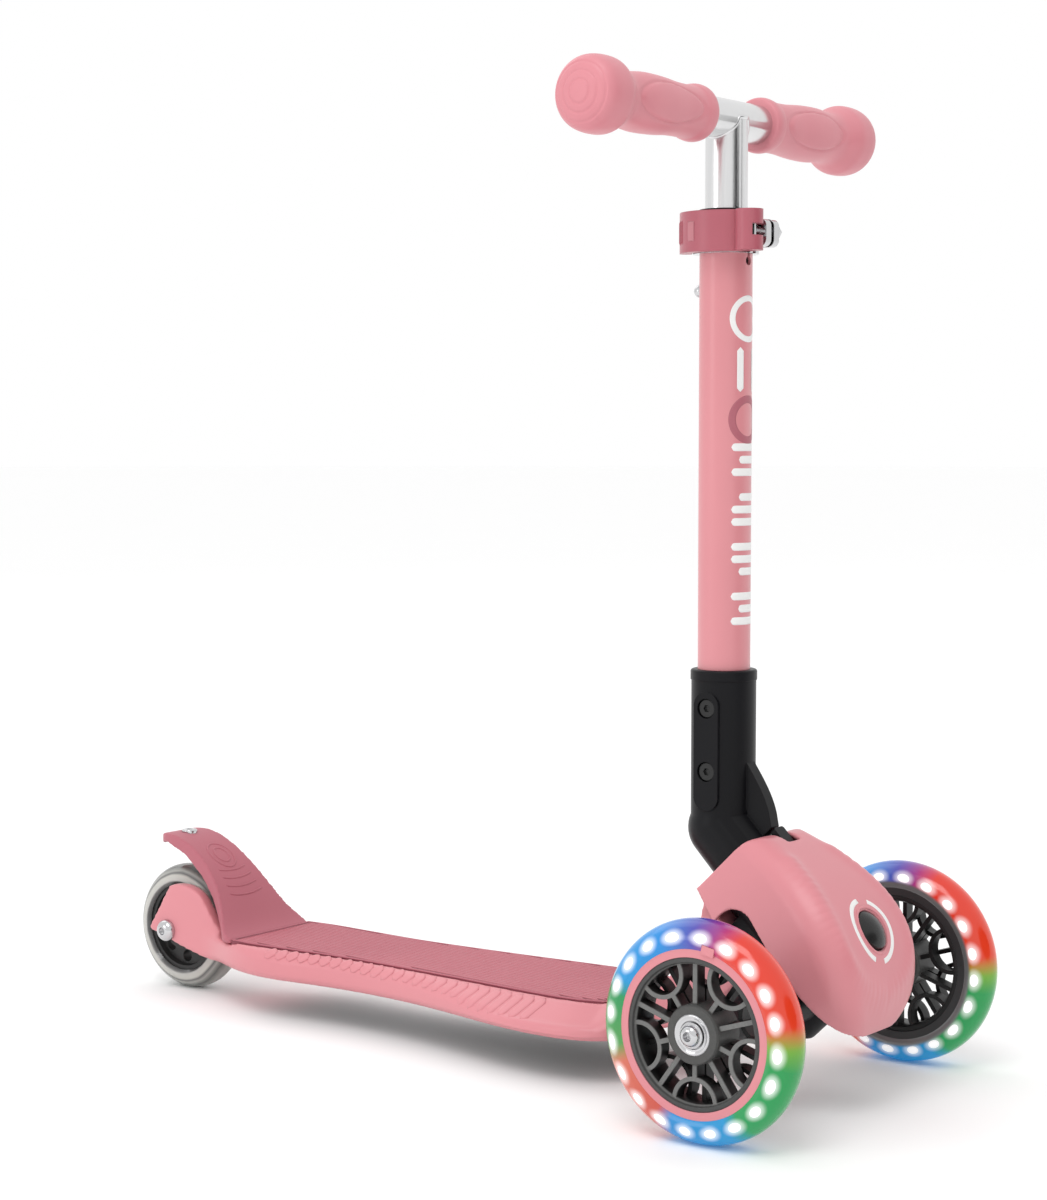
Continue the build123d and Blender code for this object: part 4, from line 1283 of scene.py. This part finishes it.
@dataclass
class Brake:
    """Rear foot brake with its raised tread lines."""

    tip_length: float = 13.0
    tip_narrowing: float = 0.72
    bars: int = 4
    bar_half: float = 15.5
    bar_shrink: float = 0.8
    bar_from: float = -21.0
    bar_pitch: float = 6.4
    bar_bow: float = 2.2
    oval_at: float = 12.0
    oval_radii: tuple[float, float] = (9.5, 5.5)

    def build(self) -> None:
        """Dress the brake's nodes and lay its tread."""
        self.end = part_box("brake_fender")[1].y
        moulding = Moulded("brake_fender", 0.9 * MM, 7)
        self.fender = moulding.build("brake_moulding", ROSE, "brake", Slot.MAT_ROSE, self.round_tip)
        dress_node("brake_wear_plate", STEEL)
        dress_node("brake_screw", CHROME)
        dress_node("brake_hinge_pin", STEEL)
        dress_node("brake_spring", STEEL)
        self.lay_tread()

    def round_tip(self, spot: Vector, _: Vector) -> Vector:
        """Draw the fender's corners in towards its tip.

        Args:
            spot: A point of the fender.
            _: Its normal, which the tip doesn't need.

        Returns:
            The moved point.
        """
        share = max(0.0, 1 - (self.end - spot.y) / (self.tip_length * MM))
        return Vector((spot.x * sqrt(1 - self.tip_narrowing * share * share), spot.y, spot.z))

    def lay_tread(self) -> None:
        """A plain oval and a row of bowed bars, raised on the fender's back."""
        skin = Skin(self.fender)
        axle = middle_of("left_tyre").y
        into, along = Vector((0, 0.75, -0.66)), Vector((0, 0.66, 0.75))
        start = Vector((0, axle + 0.445, 0.084)) - into * 0.2

        def drop(points: Sequence[tuple[float, float]]) -> list[tuple[Vector, Vector]]:
            """Drop (across, along) points, in millimetres, on the fender."""
            return skin.lay([start + Vector((x * MM, 0, 0)) + along * (s * MM) for x, s in points], into)

        bars = []
        for k in range(self.bars):
            half, place = self.bar_half - self.bar_shrink * k, self.bar_from + self.bar_pitch * k
            shares = [j / 10 - 1 for j in range(21)]
            bars.append(drop([(half * t, place + self.bar_bow * t * t) for t in shares]))
        thin = Bead(half_width=0.8 * MM, height=0.45 * MM, steps=4)
        thin.lay("brake_bars", bars, ROSE, "brake", Slot.MAT_ROSE)
        ring = Bead(half_width=0.8 * MM, height=0.45 * MM, steps=4, closed=True)
        rings = [drop(oval((0.0, self.oval_at), (r, r * 1.15), 0.0, 352.0, 44)) for r in self.oval_radii]
        ring.lay("brake_ovals", rings, ROSE, "brake", Slot.MAT_ROSE)


@dataclass
class SteeringHead:
    """Pink hood over the black head, with the lock button and fold latch."""

    rake: float = 46.0
    button_depth: float = 0.006
    fold_height: float = 1.5
    fold_width: float = 5.5
    fold_line: list[tuple[float, float]] = field(default_factory=lambda: smooth_line(
        [(24.0, -54.0), (30.0, -34.0), (35.0, -14.0), (36.0, 4.0), (31.0, 18.0), (20.0, 28.0), (3.0, 33.0)],
        steps=4,
    ))
    ring_radius: float = 17.2
    ring_arcs: tuple[tuple[float, float], ...] = ((-62.0, 88.0), (118.0, 268.0))
    lip_radius: float = 13.0

    def build(self) -> None:
        """Dress the head's nodes and lay the hood's detail."""
        self.crest, self.down, self.out = self.axes()
        moulding = Moulded("hood_shell", 0.9 * MM, 6)
        self.hood = moulding.build("hood_moulding", PINK, "deck", Slot.SHELL_PINK, self.fold)
        dress_node("steering_head", BLACK)
        dress_node("axle_carrier", BLACK)
        dress_node("centring_bush", BUSH)
        dress_node("lock_button", BLACK_GLOSS)
        dress_node("latch_key", BLACK)
        for name in (
            "hood_screws", "neck_bolts", "pivot_bolt", "king_bolt", "king_nut", "lock_springs",
            "latch_spring", "axle_spacers",
        ):
            dress_node(name, STEEL)
        self.lay_button_ring()

    def axes(self) -> tuple[Vector, Vector, Vector]:
        """Button centre, the direction down the hood, and the hood's outward normal.

        Returns:
            The three vectors.
        """
        c, s = cos(radians(self.rake)), sin(radians(self.rake))
        down, out = Vector((0, -c, -s)), Vector((0, -s, c))
        spots = [v.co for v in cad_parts["lock_button"].data.vertices]
        crest = max(spot.dot(out) for spot in spots)
        along = [spot.dot(down) for spot in spots if spot.dot(out) > crest - self.button_depth]
        return out * crest + down * ((min(along) + max(along)) / 2), down, out

    def drop(self, skin: Skin, points: Sequence[tuple[float, float]]) -> list[tuple[Vector, Vector]]:
        """Drop points on the hood.

        Args:
            skin: The hood's surface.
            points: (across, down the hood) from the button, in millimetres.

        Returns:
            The landed points.
        """
        above = self.crest + self.out * 0.05
        spots = [above + Vector((x * MM, 0, 0)) + self.down * (d * MM) for x, d in points]
        return skin.lay(spots, -self.out)

    def fold(self, spot: Vector, normal: Vector) -> Vector:
        """Raise a soft fold that sweeps down each side of the hood and under the button.

        Args:
            spot: A point of the hood.
            normal: Its normal.

        Returns:
            The moved point.
        """
        if normal.dot(self.out) < 0.1:
            return spot
        x, d = abs(spot.x) / MM, (spot - self.crest).dot(self.down) / MM
        gap = min((x - a) ** 2 + (d - b) ** 2 for a, b in self.fold_line)
        return spot + self.out * (self.fold_height * MM * exp(-gap / self.fold_width ** 2))

    def lay_button_ring(self) -> None:
        """Two white arcs and a plain pink lip round the button."""
        skin = Skin(self.hood)
        radii = (self.ring_radius, self.ring_radius)
        arcs = [self.drop(skin, oval((0.0, 0.0), radii, a, b)) for a, b in self.ring_arcs]
        ink = Bead(half_width=1.5 * MM, height=0.12 * MM, square=8.0, steps=6, round_ends=False)
        ink.lay("button_arcs", arcs, WHITE_INK, "deck", Slot.SHELL_PINK)
        loop = self.drop(skin, oval((0.0, 0.0), (self.lip_radius, self.lip_radius), 0.0, 354.0, 59))
        lip = Bead(half_width=0.9 * MM, height=0.5 * MM, steps=6, closed=True)
        lip.lay("button_lip", [loop], PINK, "deck", Slot.SHELL_PINK)


@dataclass
class Mast:
    """Elbow, mast tube, height clamp and the printed marks."""

    mark_radius: float = 0.015
    ring_height: float = 0.438
    bar_heights: tuple[float, float] = (0.422, 0.397)
    second_ring_height: float = 0.3815
    ring_reach: float = 43.0
    ring_half_height: float = 0.0115
    bar_angle: float = 24.0
    stack_heights: tuple[float, ...] = (0.366, 0.338, 0.310, 0.282)
    dash_gap: float = 0.0070
    dash_long: float = 44.0
    dash_short: float = 26.0
    ink_height: float = 0.1
    lever_rib_angles: tuple[float, ...] = (128.0, 133.0, 138.0, 143.0)
    lever_rib_length: float = 0.0135
    pad_from: float = 112.0
    pad_step: float = 1.2

    def build(self) -> None:
        """Dress the mast's nodes and lay its detail."""
        dress_node("fold_elbow", BLACK)
        dress_node("socket_screws", BLACK_GLOSS)
        dress_node("socket_nuts", BLACK_GLOSS)
        dress_node("mast_tube", PINK_TUBE)
        dress_node("guide_bush", BLACK)
        dress_node("guide_pin", CHROME)
        dress_node("clamp_collar", CHROME)
        dress_node("clamp_bolt", CHROME)
        dress_node("clamp_nut", CHROME)
        dress_node("clamp_lever", LEVER_ROSE)
        self.centre = middle_of("mast_tube")
        self.print_marks()
        self.lay_lever_pads()

    def around(self, angle: float, z: float, radius: float) -> tuple[Vector, Vector]:
        """A point on a cylinder round the mast.

        Args:
            angle: Degrees from straight ahead, positive towards the rider's right.
            z: Height, in metres.
            radius: Radius, in metres.

        Returns:
            The point and its normal.
        """
        normal = Vector((-sin(radians(angle)), -cos(radians(angle)), 0))
        return Vector((self.centre.x, self.centre.y, z)) + normal * radius, normal

    def print_marks(self) -> None:
        """Plain rings, bars and dashes, printed down the front of the tube."""
        high, low = self.bar_heights
        ink = [
            [self.around(shift, high + (low - high) * k / 12, self.mark_radius) for k in range(13)]
            for shift in (-self.bar_angle, self.bar_angle)
        ]
        for n, top in enumerate(self.stack_heights):
            for row in range(3):
                reach = self.dash_short if (row + n) % 3 == 1 else self.dash_long
                z = top - row * self.dash_gap
                turns = [-self.dash_long + (self.dash_long + reach) * k / 24 for k in range(25)]
                ink.append([self.around(turn, z, self.mark_radius) for turn in turns])
        dash = Bead(2.2 * MM, self.ink_height * MM, square=8.0, sink=0.05 * MM)
        dash.lay("tube_dashes", ink, WHITE_INK, "mast", Slot.MAST_PINK)
        for name, middle, finish, half in (
            ("tube_ring", self.ring_height, WHITE_INK, 1.7),
            ("tube_disc", self.second_ring_height, ROSE_INK, 2.2),
        ):
            loop = []
            for a in (2 * pi * k / 72 for k in range(72)):
                z = middle + self.ring_half_height * sin(a)
                loop.append(self.around(self.ring_reach * cos(a), z, self.mark_radius))
            band = Bead(half * MM, self.ink_height * MM, square=8.0, sink=0.05 * MM, closed=True)
            band.lay(name, [loop], finish, "mast", Slot.MAST_PINK)

    def lay_lever_pads(self) -> None:
        """Thumb ribs and the pale pad on the lever's outer face."""
        skin = Skin(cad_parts["clamp_lever"])
        low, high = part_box("clamp_lever")
        middle = (low.z + high.z) / 2

        def land(angle: float, z: float) -> tuple[Vector, Vector] | None:
            """Point of the lever's outer face at an angle round the mast."""
            start, normal = self.around(angle, z, 0.06)
            return skin.hit(start, -normal)

        ribs = []
        for angle in self.lever_rib_angles:
            path = [land(angle, middle + (k / 10 - 0.5) * self.lever_rib_length) for k in range(11)]
            ribs.append([found for found in path if found])
        rib = Bead(half_width=0.45 * MM, height=0.5 * MM, steps=4)
        rib.lay("lever_ribs", ribs, LEVER_ROSE, "clamp_lever", Slot.LEVER_ROSE)
        path = [land(self.pad_from - self.pad_step * k, middle) for k in range(10)]
        pad = Bead(half_width=5.6 * MM, height=0.35 * MM, square=8.0, steps=8, round_ends=False)
        pad.lay("lever_pad", [[found for found in path if found]], LEVER_PALE, "clamp_lever", Slot.LEVER_ROSE)


@dataclass
class Handle:
    """Sliding inner tube with the cross bar, and two shaped grips."""

    profile: list[tuple[float, float]] = field(default_factory=lambda: [
        (31.0, 11.3), (31.0, 14.2), (32.2, 15.4), (35.0, 15.9), (38.6, 15.5), (43.0, 14.6), (58.0, 14.7),
        (74.0, 15.9), (90.0, 16.2), (104.0, 15.0), (111.5, 15.6), (118.0, 18.6), (122.0, 20.3),
        (127.0, 20.7), (133.0, 20.4), (137.5, 19.2), (140.6, 16.6), (142.0, 13.2), (142.9, 9.0),
        (143.5, 5.0), (143.8, 2.0), (143.9, 0.05),
    ])
    turns: int = 144
    least_radius: float = 0.05
    barrel_middle: float = 77.0
    barrel_half: float = 41.0
    pad_middle: float = 76.0
    pad_half: float = 31.0
    pad_turn: float = 0.72
    pad_height: float = 0.6
    groove_depth: float = 0.75
    cap_from: float = 138.0
    cap_rings: tuple[float, ...] = (6.4, 11.0, 15.6)
    cap_ring_depth: float = 0.5
    bar_radius: float = 0.0112
    tube_radius: float = 0.012

    def build(self) -> None:
        """Dress the handle and shape its grips."""
        dress_node("handle_tube", SILVER)
        self.centre = Vector((0, middle_of("handle_tube").y, middle_of("left_grip").z))
        for side in Side:
            self.shape_grip(side)
        self.lay_weld()

    def radius_at(self, a: float, r: float, turn: float) -> float:
        """Grip radius with its two thumb pads and finger lobes.

        Args:
            a: Distance from the middle of the bar, in millimetres.
            r: Plain radius there.
            turn: Angle round the bar, 0 straight ahead.

        Returns:
            The shaped radius.
        """
        barrel = max(0.0, 1 - ((a - self.barrel_middle) / self.barrel_half) ** 4)
        lobes = 0.7 * cos(2 * turn) ** 2 - 0.3
        shaped = r + barrel * (lobes - 0.6 * cos(4 * turn))
        for facing in (0.0, pi):
            off = (turn - facing + pi) % (2 * pi) - pi
            reach = sqrt(((a - self.pad_middle) / self.pad_half) ** 2 + (off / self.pad_turn) ** 2)
            if reach < 1.25:
                raised = 1 - min(1.0, max(0.0, (reach - 0.86) / 0.1))
                groove = max(0.0, 1 - abs(reach - 1.0) / 0.09)
                shaped += self.pad_height * raised - self.groove_depth * groove
        return shaped

    def grip_point(self, a: float, r: float, turn: float, way: float) -> Vector:
        """One point of a grip's surface, with the rings on its end cap pressed in.

        Args:
            a: Distance from the middle of the bar, in millimetres.
            r: Plain radius there.
            turn: Angle round the bar, 0 straight ahead.
            way: +1 towards +X, -1 towards -X.

        Returns:
            The point, in metres.
        """
        shaped = max(self.least_radius, self.radius_at(a, r, turn))
        end = a
        if a > self.cap_from:
            for mark in self.cap_rings:
                end -= self.cap_ring_depth * max(0.0, 1 - abs(r - mark))
        return self.centre + Vector((way * end * MM, -shaped * cos(turn) * MM, shaped * sin(turn) * MM))

    def shape_grip(self, side: Side) -> None:
        """Build one grip in place of its plain node.

        Args:
            side: Which grip.
        """
        way, turns = side.outward, self.turns
        line = smooth_line(self.profile, 9)
        points = [self.grip_point(a, r, 2 * pi * k / turns, way) for a, r in line for k in range(turns)]
        faces = []
        for row in range(len(line) - 1):
            for k in range(turns):
                a, b = row * turns + k, row * turns + (k + 1) % turns
                quad = [a, b, b + turns, a + turns]
                faces.append(quad if way > 0 else quad[::-1])
        last = (len(line) - 1) * turns
        faces.append(list(range(turns))[::-1 if way > 0 else 1])
        faces.append(list(range(last, last + turns))[::1 if way > 0 else -1])
        name = side.value
        item = new_piece(f"{name}_shaped_grip", points, faces, GRIP, "handle")
        item.data.set_sharp_from_angle(angle=radians(GRIP_SHARP))
        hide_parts(f"{name}_grip")

    def lay_weld(self) -> None:
        """The ground weld where the upright meets the cross bar."""
        path = []
        for k in range(72):
            a = 2 * pi * k / 72
            y = self.tube_radius * sin(a)
            drop = sqrt(max(0.0, self.bar_radius ** 2 - y * y))
            point = self.centre + Vector((self.tube_radius * cos(a), y, -drop))
            path.append((point, Vector((cos(a), sin(a), -0.9)).normalized()))
        bead = Bead(half_width=1.3 * MM, height=0.7 * MM, sink=0.5 * MM, closed=True)
        bead.lay("handle_weld", [path], SILVER, "handle", Slot.SILVER)


@dataclass
class Studio:
    """Camera, floor and soft lights."""

    azimuth: float = -53.21
    elevation: float = 3.76
    lens: float = 74.2
    spot: tuple[float, float, float] = (-1.19428, -0.92383, 0.37150)
    sensor: float = 36.0
    floor_line: tuple[tuple[float, float], ...] = (
        (1.0, 0.0), (6.0, 0.0), (30.0, 0.0), (44.0, -0.3), (50.0, -2.0),
    )
    card_radii: tuple[float, float] = (1.15, 0.6)

    def build(self) -> None:
        """Make the stage."""
        self.place_camera()
        self.lay_floor()
        self.hang_lights()
        self.stand_flag()
        self.fill_world()

    def place_camera(self) -> None:
        """Put the camera at its viewing angle."""
        data = bpy.data.cameras.new("view_camera")
        data.lens = self.lens
        data.sensor_width = self.sensor
        data.clip_end = 90.0
        camera = bpy.data.objects.new("view_camera", data)
        camera.location = self.spot
        camera.rotation_euler = (radians(90 - self.elevation), 0.0, radians(self.azimuth))
        bpy.context.scene.collection.objects.link(camera)
        bpy.context.scene.camera = camera

    def lay_floor(self) -> None:
        """A wide pale floor that dips away under its rim."""
        g = Graph("pale_floor")
        tone = g.blend(g.grain(3.0, 2.0), (0.985, 0.985, 0.985), (0.992, 0.992, 0.992))
        material = g.close({"Base Color": tone, "Roughness": 0.9, "Specular IOR Level": 0.1})
        points, faces, turns = [Vector((0, 0, 0))], [], 96
        angles = [2 * pi * k / turns for k in range(turns)]
        for r, z in self.floor_line:
            points += [Vector((r * cos(a), r * sin(a), z)) for a in angles]
        faces += [[0, 1 + k, 1 + (k + 1) % turns] for k in range(turns)]
        for row in range(len(self.floor_line) - 1):
            a = 1 + row * turns
            for k in range(turns):
                after = (k + 1) % turns
                faces.append([a + k, a + turns + k, a + turns + after, a + after])
        self.stand("studio_floor", points, faces, material).data.shade_smooth()

    @staticmethod
    def stand(
        name: str, points: Sequence[Vector], faces: Sequence[Sequence[int]], material: bpy.types.Material,
    ) -> bpy.types.Object:
        """Make one piece of the stage.

        Args:
            name: The piece's name.
            points: Its vertices.
            faces: Its faces.
            material: Its material.

        Returns:
            The piece.
        """
        mesh = bpy.data.meshes.new(name)
        mesh.from_pydata([tuple(p) for p in points], [], [list(f) for f in faces])
        mesh.materials.append(material)
        item = bpy.data.objects.new(name, mesh)
        bpy.context.scene.collection.objects.link(item)
        return item

    def hang_lights(self) -> None:
        """Broad soft boxes over, beside and behind the scooter."""
        for name, spot, size, power in (
            ("key_box", (-1.6, -0.6, 2.8), 1.4, 22.0),
            ("back_box", (0.6, 2.4, 2.6), 2.2, 10.0),
            ("side_strip", (-2.6, 1.2, 0.9), 1.0, 5.0),
        ):
            data = bpy.data.lights.new(name, "AREA")
            data.size = size
            data.energy = power
            lamp = bpy.data.objects.new(name, data)
            lamp.location = spot
            aim = Vector((0, 0, 0.25)) - Vector(spot)
            lamp.rotation_euler = aim.to_track_quat("-Z", "Y").to_euler()
            bpy.context.scene.collection.objects.link(lamp)

    def stand_flag(self) -> None:
        """A dark card at the side, which gives tubes and metal their dark core."""
        g = Graph("dark_card")
        tone = g.blend(g.grain(200.0, 2.0), (0.01, 0.01, 0.01), (0.02, 0.02, 0.02))
        material = g.close({"Base Color": tone, "Roughness": 0.9})
        middle, across = Vector((0.29, -2.38, 0.66)), Vector((0.993, 0.121, 0.0))
        wide, tall = self.card_radii
        points = []
        for a in (2 * pi * k / 48 for k in range(48)):
            points.append(middle + across * (wide * cos(a)) + Vector((0, 0, tall * sin(a))))
        self.stand("dark_card", points, [list(range(48))], material)

    def fill_world(self) -> None:
        """Even white surroundings."""
        world = bpy.data.worlds.new("white_room")
        world.use_nodes = True
        back = world.node_tree.nodes["Background"]
        back.inputs["Color"].default_value = (1.0, 1.0, 1.0, 1.0)
        back.inputs["Strength"].default_value = 1.0
        bpy.context.scene.world = world
        bpy.context.scene.view_settings.view_transform = "Standard"


def main() -> None:
    """Build every sub-assembly in order."""
    logging.basicConfig(level=logging.INFO, format="%(name)s: %(message)s")
    parts = (
        Studio(), Deck(), Brake(), RearWheel(), FrontWheel(Side.LEFT), FrontWheel(Side.RIGHT), SteeringHead(),
        Mast(), Handle(),
    )
    for part in parts:
        part.build()
        LOG.info("built %s", type(part).__name__)


if __name__ == "__main__":
    main()
